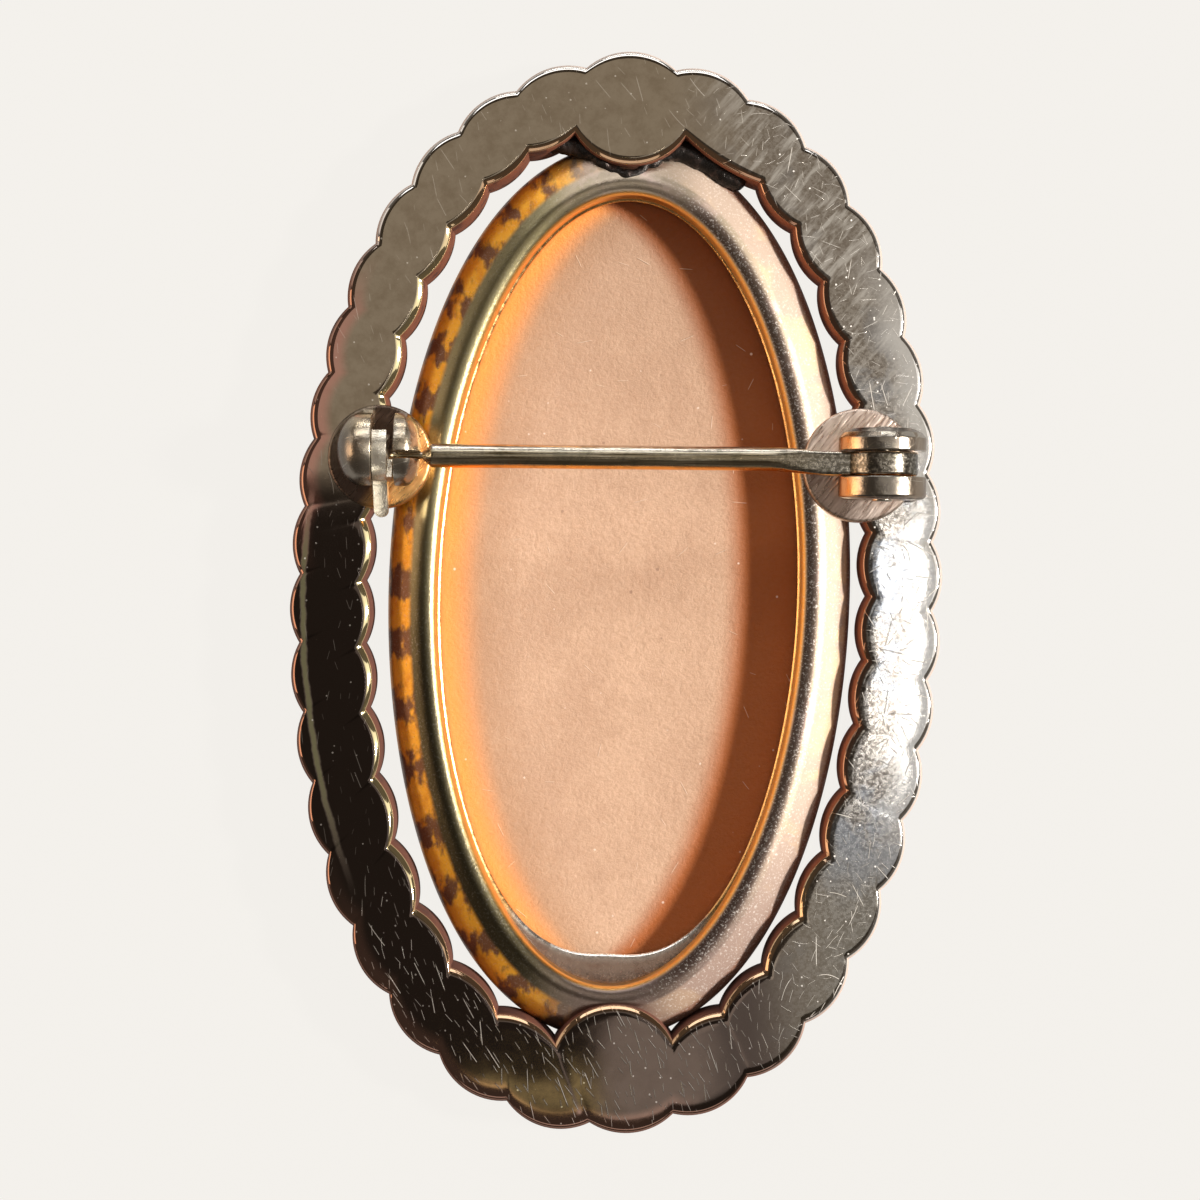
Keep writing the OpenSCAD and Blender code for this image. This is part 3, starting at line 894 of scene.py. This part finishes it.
def seat_finish():
    """Thin ledge under the opening: gold round the sides, glossy brown at the lower end."""
    f = Finish("seat_brown")
    low = between(f.y, -14.0, -15.2)
    base = coats(
        tint(low, (0.85, 0.50, 0.20), (0.40, 0.28, 0.22)),
        # Painted highlight on the rounded inner edge of the seat at the lower end
        (low * between(f.facing_up, 0.985, 0.95), (0.98, 0.92, 0.84)),
        (f.blotches(0.8, 0.3) * low * 0.3, DARK_COPPER))
    return f.done(base, between(f.grain(3.0), 0.2, 0.8, 0.12, 0.35), (f.grain(1.2), 0.02))


def plate_finish():
    """Round solder plates: rosy, filed with short strokes, with painted shade on the catch plate, darkest
    low down, and painted shadow under the hinge and in the catch's mouth.
    """
    f = Finish("rose_plate")
    strokes = f.strokes(52, 0.9, 0.12, 4.0)
    left = between(f.x, -5.0, -9.0)
    # Painted shadow of the hinge's ears and the pin on the hinge plate
    under = between(f.x, 11.2, 9.6) * between(f.y, 6.6, 5.6)
    # Painted shade inside the catch's mouth
    mouth_x = abs(f.x - (RIVET_X + CHEEK_FACES[1] + 0.5))
    mouth = between(mouth_x, 0.62, 0.5) * between(f.y, 5.9, 6.4)
    # On the catch plate: painted shade, darker low down
    olive = coats(
        tint(between(f.y, 4.5, 7.5), (0.08, 0.045, 0.032), (0.22, 0.17, 0.12)),
        (mouth, (0.05, 0.022, 0.012)),
        (between(f.x + f.y * -0.6, -13.9, -12.7), (0.90, 0.48, 0.16)))
    base = coats(
        tint(between(strokes, 0.3, 0.7), (0.56, 0.38, 0.30), (0.96, 0.80, 0.72)),
        (under * 0.9, (0.11, 0.042, 0.024)),
        (left, olive),
        (f.worn("Edge", 0.03) * (0.45 - left * 0.35), (0.95, 0.80, 0.66)))
    return f.done(base, between(strokes, 0.3, 0.7, 0.24, 0.42), (strokes, 0.03), (f.grain(5.0), 0.012))


def fitting_finish(name, light, shade, warm, dusk=0.0, glow=0.0, metallic=1.0):
    """Polished fittings: brown in the hollows, rubbed at the edges and painted warm underneath as
    reflected light.

    Dusk paints shade on what is low down or turned left; glow paints turned discs with a warm reflection
    on the left and a dark top."""
    f = Finish(name, metallic)
    turned = between(f.facing_x, -0.25, -0.6) * between(f.y, 7.6, 6.4)
    low = larger(between(f.y, 6.2, 5.2), turned)
    top = between(abs(f.facing_x + 0.08), 0.5, 0.2)
    scratch = f.hairlines(1.4, 0.5, 0.35, 0.02)
    base = coats(
        tint(f.blotches(0.9, 0.45), light, shade),
        # Painted shade low down and turned left, and on turned discs painted reflections: a dark top, a
        # warm left and a browner right end
        (low * dusk, (0.075, 0.045, 0.03)),
        (top * glow, (0.06, 0.04, 0.03)),
        (between(f.facing_x, -0.5, -0.75) * glow, (0.95, 0.45, 0.10)),
        (between(f.facing_x, 0.45, 0.7) * glow, (0.34, 0.22, 0.14)),
        (f.worn("Hollow", 0.02) * 0.8, BROWN_OXIDE),
        # Painted warm reflection on the faces turned down
        (between(f.facing_up, 0.25, -0.3) * 0.5, warm),
        (scratch * 0.5, (0.95, 0.9, 0.8)),
        (f.worn("Edge", 0.04) * 0.5, (0.97, 0.93, 0.82)))
    rough = f.grain(4.0) * 0.12 + (0.2 - 0.08 * glow)
    return f.done(base, rough, (f.grain(1.4), 0.03), (scratch, 0.005))


def wire_finish():
    """Drawn wire: olive brown and polished, with fine marks along it, a painted highlight along its upper
    side and a painted orange reflection along its lower side.
    """
    f = Finish("drawn_wire")
    drawn = f.strokes(math.degrees(PIN_SKEW), 4.0, 0.11)
    gritty = tint(between(f.grain(6.0), 0.45, 0.6), (0.16, 0.14, 0.11), (0.46, 0.42, 0.36))
    base = coats(
        tint(between(drawn, 0.35, 0.7), (0.30, 0.24, 0.15), (0.56, 0.49, 0.36)),
        (between(f.x, 5.5, 9.5), gritty),
        # Painted highlight along the upper side and painted orange reflection along the lower side
        (between(f.facing_y, 0.35, 0.6), (0.78, 0.72, 0.62)),
        (between(f.facing_y, -0.6, -0.9), (0.95, 0.48, 0.12)),
        (f.blotches(1.6, 0.35) * 0.35, OLIVE))
    return f.done(base, between(drawn, 0.3, 0.7, 0.14, 0.28), (drawn, 0.012), (f.grain(3.0), 0.01))


def centre_finish():
    """Matte pinkish-tan back with fine grain and small nicks, a painted warm glow of reflected light on
    the left and painted shadow on the right.
    """
    f = Finish("tan_centre", 0.0)
    fine, cloud = f.grain(5.5), f.grain(0.22)
    nick = f.hairlines(0.55, 0.4, 0.3, 0.03)
    reach = (f.y - BEZEL_UP) / (OPENING_L / 2)
    half_width = root(calc("SUBTRACT", 1.0, reach * reach, clamp=True)) * (OPENING_W / 2)
    inside = f.x - BEZEL_RIGHT
    from_left, from_right = inside + half_width, half_width - inside
    # Painted warm glow of light reflected from the bezel's sunlit left wall
    glow = between(from_left, 2.1, 0.2) * (cloud * 0.5 + 0.6)
    shade = tint(between(f.y, 5.0, 13.0), (0.39, 0.106, 0.019), (0.27, 0.072, 0.012))
    base = coats(
        tint(between(cloud, 0.35, 0.65), (0.56, 0.35, 0.235), (0.66, 0.43, 0.295)),
        (between(fine, 0.35, 0.7) * 0.5, (0.50, 0.30, 0.19)),
        (between(f.y, 4.0, 14.0) * 0.5, (0.42, 0.26, 0.17)),
        (between(from_left, 4.2, 1.4) * 0.6, (0.40, 0.225, 0.125)),
        (glow, (0.86, 0.31, 0.05)),
        (between(from_right, 3.6, 2.2), shade),
        (nick * 0.5, (0.90, 0.74, 0.60)),
        (f.specks(1.3, 0.09, 0.3) * 0.6, (0.92, 0.80, 0.70)),
        (f.specks(0.9, 0.07, 0.3) * 0.6, (0.28, 0.15, 0.10)))
    return f.done(base, between(fine, 0.3, 0.7, 0.48, 0.72), (fine, 0.05), (nick, 0.02),
                  (f.grain(1.1), 0.05))


def oxide_finish():
    """Blackened solder, also where it stands in for shadow under the top lobe."""
    f = Finish("black_solder", 0.6)
    base = tint(f.blotches(2.0, 0.4) * 0.3, BLACK_OXIDE, (0.10, 0.06, 0.05))
    return f.done(base, between(f.grain(3.0), 0.3, 0.7, 0.2, 0.5), (f.grain(2.5), 0.06))


# Pieces

def ring_piece(name, tree, outer, inner, section, material, groove=0.0):
    """A band between two outlines. Its section's first column is a share and not a length."""
    points = [(share / MM, past, height) for share, past, height in section]
    values = {
        "Outer": outline_set("outer", outer), "Inner": outline_set("inner", inner),
        "Section": point_set("section", points), "Rings": len(outer), "Section Points": len(section),
        "Groove Depth": groove * MM, "Back Height": FRAME_BACK * MM, "Material": material,
    }
    return run_tree(name, tree, values)


def frame_section():
    """Section of the frame: (which edge, distance past it, height), once round."""
    back, front = FRAME_BACK, FRAME_FRONT
    outer = smooth_path([(0.40, front + 0.22), (0.18, front + 0.46), (0.08, front + 0.8), (0.02, 1.8),
                         (0.0, back - 0.90), (0.03, back - 0.40), (0.08, back - 0.20),
                         (0.15, back - 0.09), (0.24, back - 0.03), (0.36, back - 0.005),
                         (0.6, back), (0.9, back)], 3)
    inner = smooth_path([(0.40, front + 0.22), (0.14, front + 0.42), (0.0, front + 0.75), (0.03, 1.8),
                         (0.06, back - 0.60), (0.08, back - 0.30), (0.13, back - 0.15),
                         (0.22, back - 0.09), (0.32, back - 0.04), (0.42, back - 0.01),
                         (0.62, back), (0.9, back)], 3)
    section = [(0.0, past, height) for past, height in outer]
    section += [(0.5, 0.0, back)]
    section += [(1.0, -past, height) for past, height in reversed(inner)]
    section += [(0.8, 0.0, front + 0.04), (0.5, 0.0, front), (0.2, 0.0, front + 0.04)]
    return section


def rim_stretch(degrees):
    """How far the outer part of the rim, past its first millimetre, reaches at an angle."""
    return RIM_W - 1 + RIM_WIDER * math.sin(math.radians(degrees)) ** 2


def bezel_section():
    """Section of the bezel: (share of the outer part, distance from the opening, height)."""
    top = RIM_TOP
    crest = smooth_path([(0.0, 1.70), (0.0, top - 0.55), (0.03, top - 0.30), (0.12, top - 0.15),
                         (0.3, top - 0.04), (0.55, top), (0.85, top - 0.08), (1.3, top - 0.32),
                         (1.7, top - 0.56), (1.98, top - 0.86), (2.15, top - 1.2),
                         (RIM_W, top - 1.6)], 4)
    foot = [(RIM_W, 0.45), (RIM_W - 0.07, 0.2), (RIM_W - 0.24, 0.06), (RIM_W - 0.5, 0.0),
            (0.9, 0.0), (0.6, 0.04), (0.42, 0.12), (0.35, 0.25), (0.35, 0.45), (0.8, 0.45), (0.8, 1.45),
            (0.0, 1.45)]
    return [(max(0.0, p[0] - 1) / (RIM_W - 1), min(p[0], 1.0), p[1]) for p in list(crest) + foot]


def ledge_section():
    """Section of the thin ledge: (which edge, distance past it, height)."""
    return [(0.0, 0.0, LEDGE_LOW + 0.02), (0.0, 0.0, LEDGE_HIGH - 0.10), (0.0, 0.03, LEDGE_HIGH - 0.06),
            (0.0, 0.15, LEDGE_HIGH), (1.0, 0.0, LEDGE_HIGH + 0.02), (1.0, 0.0, LEDGE_LOW + 0.02)]


def ledge_width(degrees):
    """The ledge is thin round the sides and as wide as the seat at the lower end."""
    return LEDGE_W + (SEAT_W - LEDGE_W) * max(0.0, -math.sin(math.radians(degrees))) ** 12


def band_pieces():
    """The scalloped frame, the bezel and the ledge inside it."""
    band = band_tree()
    frame_gold = frame_finish()
    outer = chord_outline(FRAME_W, FRAME_L, 0, OUTER_FULLNESS, OUTER_START, OUTER_RUNS, 1)
    inner = chord_outline(HOLE_W, HOLE_L, HOLE_UP, HOLE_FULLNESS, HOLE_START, HOLE_RUNS, -1)
    scalloped = ring_piece("scalloped_frame", band, outer, inner, frame_section(), frame_gold,
                           GROOVE_DEPTH)
    steps, gap = 180, 0.1
    room = [beside_opening(360 * i / steps, PLATE_OVER + gap) for i in range(steps)]
    room = slab("room", room, PLATE_LOW - gap, PLATE_HIGH + gap, as_modelled, frame_gold)
    combine(scalloped, room, "DIFFERENCE")
    opening = plain_outline(lambda t: 0.0)
    outside = plain_outline(rim_stretch, inner)
    bezel_rim = ring_piece("bezel_rim", band, opening, outside, bezel_section(), bezel_finish())
    free_edge = plain_outline(lambda t: -ledge_width(t))
    held_edge = plain_outline(lambda t: 0.1)
    ledge = ring_piece("opening_ledge", band, free_edge, held_edge, ledge_section(), seat_finish())
    return [scalloped, bezel_rim, ledge]


def centre_piece(material):
    """The centre piece as rings from the middle of its back over its edge to its front."""
    steps, count = 180, 14
    shares = [k / count for k in range(1, count)]
    rings = [(share, PLATE_HIGH - PLATE_DISH * (1 - share ** 2) ** 1.2) for share in shares]
    rings += [(0.985, PLATE_HIGH - 0.004), (1.0, PLATE_HIGH - 0.05), (1.0, PLATE_LOW + 0.05)]
    rings += [(share, PLATE_LOW - PLATE_DOME * (1 - share ** 2) ** 0.9) for share in reversed(shares)]
    points = []
    middle = Vector((BEZEL_RIGHT, BEZEL_UP))
    for share, height in rings:
        for i in range(steps):
            at = middle + (beside_opening(360 * i / steps, PLATE_OVER) - middle) * share
            points.append((at.x, at.y, height))
    back_middle, front_middle = len(points), len(points) + 1
    points.append((middle.x, middle.y, PLATE_HIGH - PLATE_DISH))
    points.append((middle.x, middle.y, PLATE_LOW - PLATE_DOME))
    faces = joined_rings(len(rings), steps)
    last = (len(rings) - 1) * steps
    for i in range(steps):
        i2 = (i + 1) % steps
        faces.append((back_middle, i2, i))
        faces.append((front_middle, last + i, last + i2))
    return make_piece("centre_plate", points, faces, material)


def round_plate(name, along, across, radius, material):
    profile = filleted([(PLATE_FOOT, 0, 0), (PLATE_FOOT, radius, 0.05), (PLATE_FACE, radius, 0.16),
                        (PLATE_FACE, 0, 0)])
    return lathe(name, profile, "z", (along, across, 0), material)


def add_foot(piece, low, high, material):
    """Sets a disc or cheek on its plate by a block between two corners (x, y)."""
    foot = block("foot", (low[0], low[1], PLATE_FACE - FOOT_SINK),
                 (high[0], high[1], PLATE_FACE + FOOT_RISE), material)
    combine(piece, foot, "UNION")


def ear(name, side, rounding, material):
    """One ear of the hinge, with its foot on the plate."""
    inner = EAR_GAP + HEAD_T / 2
    outer = inner + EAR_T
    low = outer - rounding
    face = [(inner, 0, 0), (inner, EAR_R, 0.05), (low, EAR_R, 0.12),
            (low + 0.55 * rounding, EAR_R - 0.45 * rounding, 0.15),
            (outer, EAR_R - 1.4 * rounding, 0.15), (outer, 0, 0)]
    profile = [(side * along, radius) for along, radius in filleted(face)]
    piece = lathe(name, profile, "y", (0, HEAD_SHIFT, AXIS_Z), material)
    low_y, high_y = sorted([HEAD_SHIFT + side * (inner + 0.01), HEAD_SHIFT + side * (outer - 0.06)])
    add_foot(piece, (-FOOT_L / 2, low_y), (FOOT_L / 2, high_y), material)
    return piece


def cheek(name, flat, dome_end, depth, feet, material):
    """One cheek of the catch: a flat face, and a quarter ellipse of some depth that ends at dome_end."""
    side = 1 if dome_end > flat else -1
    start = dome_end - side * depth
    soft = 0.06
    profile = [(flat, 0), (flat, CHEEK_R - soft), (flat + side * soft * 0.3, CHEEK_R - soft * 0.3),
               (flat + side * soft, CHEEK_R)]
    steps = 12
    for k in range(steps + 1):
        a = math.pi / 2 * k / steps
        profile.append((start + side * depth * math.sin(a), CHEEK_R * math.cos(a)))
    piece = lathe(name, profile, "x", (0, CATCH_UP, AXIS_Z), material)
    for low, high in feet:
        add_foot(piece, low, high, material)
    return piece


def left_cheek(material):
    outer_face, inner_face = CHEEK_FACES[:2]
    feet = [((outer_face + 0.8, -0.85), (inner_face - 0.03, 1.15)),
            ((outer_face + 1.05, 1.05), (inner_face - 0.08, 2.05))]
    return cheek("catch_cheek_left", inner_face, outer_face, LEFT_DOME, feet, material)


def right_cheek(material):
    """The cheek on the pin's side, with a slit through which the pin lifts out."""
    inner_face, outer_face = CHEEK_FACES[2:]
    feet = [((inner_face + 0.03, -0.85), (outer_face - 0.2, 1.15))]
    piece = cheek("catch_cheek_right", inner_face, outer_face, RIGHT_DOME, feet, material)
    from_x, to_x, half = inner_face - 0.2, outer_face + 0.2, SLIT_W / 2
    slit = block("slit", (from_x, -half, AXIS_Z), (to_x, half, AXIS_Z + 2 * CHEEK_R), material)
    floor = rod("slit_floor", from_x, to_x, half, "x", (0, 0, AXIS_Z), material, 32)
    combine(slit, floor, "UNION")
    combine(piece, slit, "DIFFERENCE")
    return piece


def lever_piece(material):
    """The turning lever: an open disc on a stub, with a tail and a thin hood."""
    disc = arc(ROTOR_R, MOUTH[1], 360 + MOUTH[0], 56) + arc(HUB_R, MOUTH[0], MOUTH[1], 16)
    far_face = ROTOR_X + ROTOR_T
    piece = slab("safety_lever", disc, ROTOR_X, far_face, on_pin_end, material)
    tail = smooth_path([(-0.60, 0.55), (-1.35, 0.30), (-2.20, -0.35), (-TAIL_L, -0.95)], 4)
    tail += smooth_path([(0.03 - TAIL_L, -1.22), (-2.40, -1.20), (-1.70, -0.98), (-0.90, -0.90)], 4)
    inset, half = 0.004, ROTOR_T / 2
    tail = slab("tail", tail, ROTOR_X + inset, far_face - inset, on_pin_end, material)
    seen = [(ROTOR_X + half + x, CATCH_UP - TAIL_L + half + y) for x, y in arc(half, 180, 360, 16)]
    seen += [(far_face, 2.0), (ROTOR_X, 2.0)]
    combine(tail, slab("round_end", seen, AXIS_Z - 3, AXIS_Z + 3, to_brooch, material), "INTERSECT")
    combine(piece, tail, "UNION")
    hood = arc(ROTOR_R - 0.01, HOOD[0], HOOD[1], 12) + arc(HOOD_INNER_R, HOOD[1], HOOD[0], 8)
    combine(piece, slab("hood", hood, far_face - 0.05, far_face + HOOD_T, on_pin_end, material), "UNION")
    bevel(piece, 0.11)
    stub = rod("stub", ROTOR_X - JOURNAL_L, ROTOR_X + 0.1, JOURNAL_R, "x", (0, CATCH_UP, AXIS_Z), material)
    combine(piece, stub, "UNION")
    return piece


def rounded_ring(half_y, half_z, power, steps):
    """Points (y, z) round an oval that grows square with its power."""
    ring = []
    for k in range(steps):
        t = 2 * math.pi * k / steps
        c, s = math.cos(t), math.sin(t)
        ring.append((half_y * math.copysign(abs(c) ** (2 / power), c),
                     half_z * math.copysign(abs(s) ** (2 / power), s)))
    return ring


def pin_stations():
    """Rows (place along the pin, half width, half height, shift across, squareness)."""
    wire_r, point_r = WIRE_D / 2, POINT_D / 2
    wire_from, wire_to = SHOULDER_X + CONE_L, ROUND_FROM - 0.4
    # Columns: place along the pin, radius
    turned = [
        (-PIN_L, 0.04), (-PIN_L + 0.05, 0.09), (-PIN_L + 0.2, point_r), (SHOULDER_X, point_r),
        (SHOULDER_X + 0.05, 0.2), (wire_from - 0.05, 0.48), (wire_from, wire_r - 0.01),
        (wire_from + 0.08, wire_r), (wire_to, wire_r),
    ]
    stations = [(along, radius, radius, 0.0, 2) for along, radius in turned]
    steps = 6
    for k in range(1, steps + 1):
        share = k / steps
        ease = share * share * (3 - 2 * share)
        stations.append((wire_to + (FLAT_FROM - wire_to) * share, wire_r + (HEAD_T / 2 - wire_r) * ease,
                         wire_r + (FLAT_H / 2 - wire_r) * ease, HEAD_SHIFT * ease, 2 + 5 * ease))
    stations.append((-0.9, HEAD_T / 2 - 0.01, FLAT_H / 2, HEAD_SHIFT, 8))
    return stations


def pin_piece(material):
    """The pin: point, cone, wire, the stretch hammered flat, and the round head."""
    stations, steps = pin_stations(), 48
    points = []
    for along, half_y, half_z, across, power in stations:
        for y, z in rounded_ring(half_y, half_z, power, steps):
            points.append(to_brooch(along, across + y, AXIS_Z + z))
    ends = [tuple(range(steps)), tuple(range((len(stations) - 1) * steps, len(stations) * steps))]
    piece = make_piece("pin_wire", points, ends + joined_rings(len(stations), steps), material)
    half, soft = HEAD_T / 2, 0.16
    bore = RIVET_D / 2 + 0.04
    ring = filleted([(-half, bore, 0), (-half, HEAD_R, soft), (half, HEAD_R, soft), (half, bore, 0)])
    middle = (0, HEAD_SHIFT, AXIS_Z)
    head = lathe("head", [(-half, 0)] + [tuple(p) for p in ring] + [(half, 0)], "y", middle, material)
    combine(piece, head, "UNION", 30)
    combine(piece, rod("hole", -2, 2, bore, "y", middle, material), "DIFFERENCE", 30)
    return piece


def rivet_piece(material):
    half, radius = HEAD_T / 2 + EAR_GAP + EAR_T + 0.08, RIVET_D / 2
    profile = filleted([(-half, 0, 0), (-half, radius, 0.07), (half, radius, 0.07), (half, 0, 0)])
    return lathe("cross_rivet", profile, "y", (0, HEAD_SHIFT, AXIS_Z), material, 48)


def solder_piece(material):
    """Black solder between the top lobe and the bezel, a short seam on either side of the lobe, and a row
    of smaller beads under the lobe that stands in for the shadow there.
    """
    # Columns: start, end, beads, size
    runs = [
        ((-3.6, 20.1, 2.45), (-1.8, 19.8, 2.45), 12, 1.0),
        ((-1.8, 19.5, 2.7), (-0.1, 18.55, 3.0), 14, 0.5),
        ((-0.1, 18.55, 3.0), (1.6, 19.5, 2.7), 14, 0.5),
        ((1.8, 20.0, 2.45), (3.2, 19.55, 2.45), 13, 1.0),
        ((3.2, 19.55, 2.45), (4.8, 18.5, 2.45), 13, 0.95),
    ]
    points, shares = [], []
    for start, end, count, share in runs:
        for k in range(count):
            points.append(Vector(start).lerp(Vector(end), k / (count - 1)))
            shares.append(share)
    values = {"Points": point_set("seam", points, share=shares), "Bead Radius": 0.56 * MM,
              "Scatter": 0.14 * MM, "Seed": 4, "Material": material}
    return run_tree("black_solder", solder_tree(), values, 50)


def build_pieces():
    rose = plate_finish()
    cheek_gold = fitting_finish("catch_gold", light=(0.66, 0.50, 0.31), shade=(0.32, 0.21, 0.12),
                                warm=(0.80, 0.40, 0.15), dusk=0.9)
    ear_gold = fitting_finish("hinge_gold", light=(0.44, 0.35, 0.26), shade=(0.20, 0.14, 0.10),
                              warm=(0.85, 0.42, 0.12), glow=0.75)
    lever_gold = fitting_finish("lever_gold", light=(0.95, 0.86, 0.70), shade=(0.50, 0.38, 0.24),
                                warm=(0.80, 0.45, 0.2), metallic=0.9)
    setting = band_pieces() + [
        round_plate("hinge_plate", HINGE_PLATE_X, HEAD_SHIFT, HINGE_PLATE_R, rose),
        round_plate("catch_plate", CATCH_PLATE_X, 0, CATCH_PLATE_R, rose),
        ear("hinge_ear_upper", 1, 0.42, ear_gold),
        ear("hinge_ear_lower", -1, 0.14, ear_gold),
        left_cheek(cheek_gold),
        right_cheek(cheek_gold),
        solder_piece(oxide_finish()),
    ]
    for piece in setting:
        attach(piece, "brooch")
        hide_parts("setting")

    centre = centre_piece(centre_finish())
    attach(centre, "brooch")
    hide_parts("centre_piece")
    cross = rivet_piece(ear_gold)
    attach(cross, "brooch")
    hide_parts("rivet")
    pin = pin_piece(wire_finish())
    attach(pin, "pin")
    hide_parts("pin_stem")
    lever = lever_piece(lever_gold)
    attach(lever, "lever")
    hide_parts("catch_lever")


# Stage

def make_floor():
    """A pale floor that glows, so that it stays light under the piece."""
    half, level = 1500, -0.02
    mesh = bpy.data.meshes.new("floor")
    corners = [(-half, -half, level), (half, -half, level), (half, half, level), (-half, half, level)]
    mesh.from_pydata([Vector(p) * MM for p in corners], [], [(0, 1, 2, 3)])
    floor = add("floor", mesh)
    material = bpy.data.materials.new("pale_floor")
    material.use_nodes = True
    tree = material.node_tree
    tree.nodes.clear()
    # The metal sees the floor dimmer than the camera does
    seen_direct = wire(tree, "ShaderNodeLightPath", out="Is Camera Ray")
    strength = wire(tree, "ShaderNodeMapRange", {"Value": seen_direct, "To Min": 0.5, "To Max": 0.985})
    glow = wire(tree, "ShaderNodeEmission", {"Color": FLOOR_WHITE + (1,), "Strength": strength})
    matte = wire(tree, "ShaderNodeBsdfDiffuse", {"Color": (0.015, 0.015, 0.015, 1)})
    both = wire(tree, "ShaderNodeAddShader", {0: glow, 1: matte})
    clear = wire(tree, "ShaderNodeBsdfTransparent")
    behind = wire(tree, "ShaderNodeNewGeometry", out="Backfacing")
    seen = wire(tree, "ShaderNodeMixShader", {0: behind, 1: both, 2: clear})
    wire(tree, "ShaderNodeOutputMaterial", {"Surface": seen})
    mesh.materials.append(material)


def make_room():
    """Dim surroundings for the metal to reflect, which the camera sees as pale."""
    world = bpy.data.worlds.new("room")
    world.use_nodes = True
    tree = world.node_tree
    tree.nodes.clear()
    pale = wire(tree, "ShaderNodeBackground", {"Color": FLOOR_WHITE + (1,), "Strength": 1.0})
    dim = wire(tree, "ShaderNodeBackground", {"Color": (0.10, 0.085, 0.07, 1), "Strength": 1.0})
    seen = wire(tree, "ShaderNodeLightPath", out="Is Camera Ray")
    both = wire(tree, "ShaderNodeMixShader", {0: seen, 1: dim, 2: pale})
    wire(tree, "ShaderNodeOutputWorld", {"Surface": both})
    bpy.context.scene.world = world


def pieces_group(name, pieces):
    group = bpy.data.collections.new(name)
    for piece in pieces:
        group.objects.link(piece)
    return group


def make_key():
    """A low sun from the right. The hinge and the pin let it pass, so that their shadows stay soft."""
    data = bpy.data.lights.new("key", "SUN")
    data.energy = 5.0
    data.angle = math.radians(6.0)
    data.color = (1.0, 0.95, 0.88)
    key = add("key", data)
    key.rotation_euler = Vector((-1.0, -0.05, -0.77)).to_track_quat("-Z", "Y").to_euler()
    passed = ("hinge", "cross_rivet", "pin")
    meshes = [piece for piece in bpy.context.scene.objects if piece.type == "MESH"]
    shades = [piece for piece in meshes if not piece.name.startswith(passed)]
    key.light_linking.blocker_collection = pieces_group("shades", shades)


def soft_light(name, low, high, height, glow, colour):
    """A level soft box between two corners (x, y), at a height and with a given brightness."""
    data = bpy.data.lights.new(name, "AREA")
    data.shape = "RECTANGLE"
    data.size, data.size_y = (high[0] - low[0]) * MM, (high[1] - low[1]) * MM
    data.energy = glow * math.pi * data.size * data.size_y
    data.color = colour
    light = add(name, data)
    light.location = Vector(((low[0] + high[0]) / 2, (low[1] + high[1]) / 2, height)) * MM
    light.visible_camera = False
    return light


def aimed_light(name, half_x, half_y, place, glow, colour, reached):
    """A soft box that faces the brooch from a place. It may reach only the pieces named last."""
    light = soft_light(name, (-half_x, -half_y), (half_x, half_y), 0, glow, colour)
    light.location = Vector(place) * MM
    light.rotation_euler = (-Vector(place)).to_track_quat("-Z", "Y").to_euler()
    if reached:
        pieces = [bpy.data.objects[piece] for piece in reached]
        light.light_linking.receiver_collection = pieces_group(name + "_reached", pieces)


def make_lights():
    make_key()
    # Level boxes, seen in the flat back as in a mirror. The hinge side is lit by steps, so that no
    # hard edge shows there.
    warm, cool = (1.0, 0.95, 0.86), (1.0, 0.99, 0.97)
    level = 303
    soft_light("upper", (-75, 14), (150, 110), level, 0.5, warm)
    for step, edge in enumerate((16, 21, 26)):
        soft_light(f"upper_right_{step}", (edge, 14), (150, 95), level, 0.33, cool)
        soft_light(f"lower_right_{step}", (edge, -70), (150, 14), level, 0.5, cool)
    soft_light("glare", (38.2, -22), (39.9, 13), level - 1, 11.0, (1.0, 0.98, 0.93))
    soft_light("low_right", (2, -70), (26, -40), level, 1.1, (1.0, 0.95, 0.88))
    soft_light("low_band", (-16, -67.6), (8, -64.3), level, 1.8, (0.9, 0.80, 0.38))
    # Two of these reach only the lever, or the frame and bezel, and leave the pin's lower side dark.
    # Columns: name, half width, half length, place, brightness, colour, pieces reached
    for row in [
        ("sky", 200, 60, (-40, 320, 250), 2.2, (0.97, 0.98, 1.0), ()),
        ("right_high", 80, 130, (260, 20, 300), 0.9, (1.0, 0.97, 0.92), ()),
        ("horizon", 150, 14, (0, 400, 55), 7.0, (1.0, 0.98, 0.95), ()),
        ("left_low", 90, 110, (-330, -20, 90), 2.4, (1.0, 0.72, 0.5), ()),
        ("low_front", 85, 35, (-115, -400, 110), 2.5, (1.0, 0.94, 0.82), ("safety_lever",)),
        ("low_sky", 200, 60, (0, -320, 250), 0.8, (1.0, 0.95, 0.90), ("scalloped_frame", "bezel_rim")),
        ("side", 80, 120, (-380, 180, 120), 0.8, (1.0, 0.93, 0.85), ()),
    ]:
        aimed_light(*row)


def make_camera():
    data = bpy.data.cameras.new("camera")
    data.sensor_width = SENSOR_WIDTH
    data.lens = SENSOR_WIDTH * VIEW_HEIGHT / VIEW_WIDTH
    data.clip_start, data.clip_end = 0.01, 10
    camera = add("camera", data)
    camera.location = Vector((*VIEW_MIDDLE, FRAME_BACK + VIEW_HEIGHT)) * MM
    camera.rotation_euler = (0, 0, VIEW_TURN)
    bpy.context.scene.camera = camera


make_camera()
build_pieces()
make_floor()
make_lights()
make_room()
bpy.context.scene.view_settings.view_transform = "Standard"
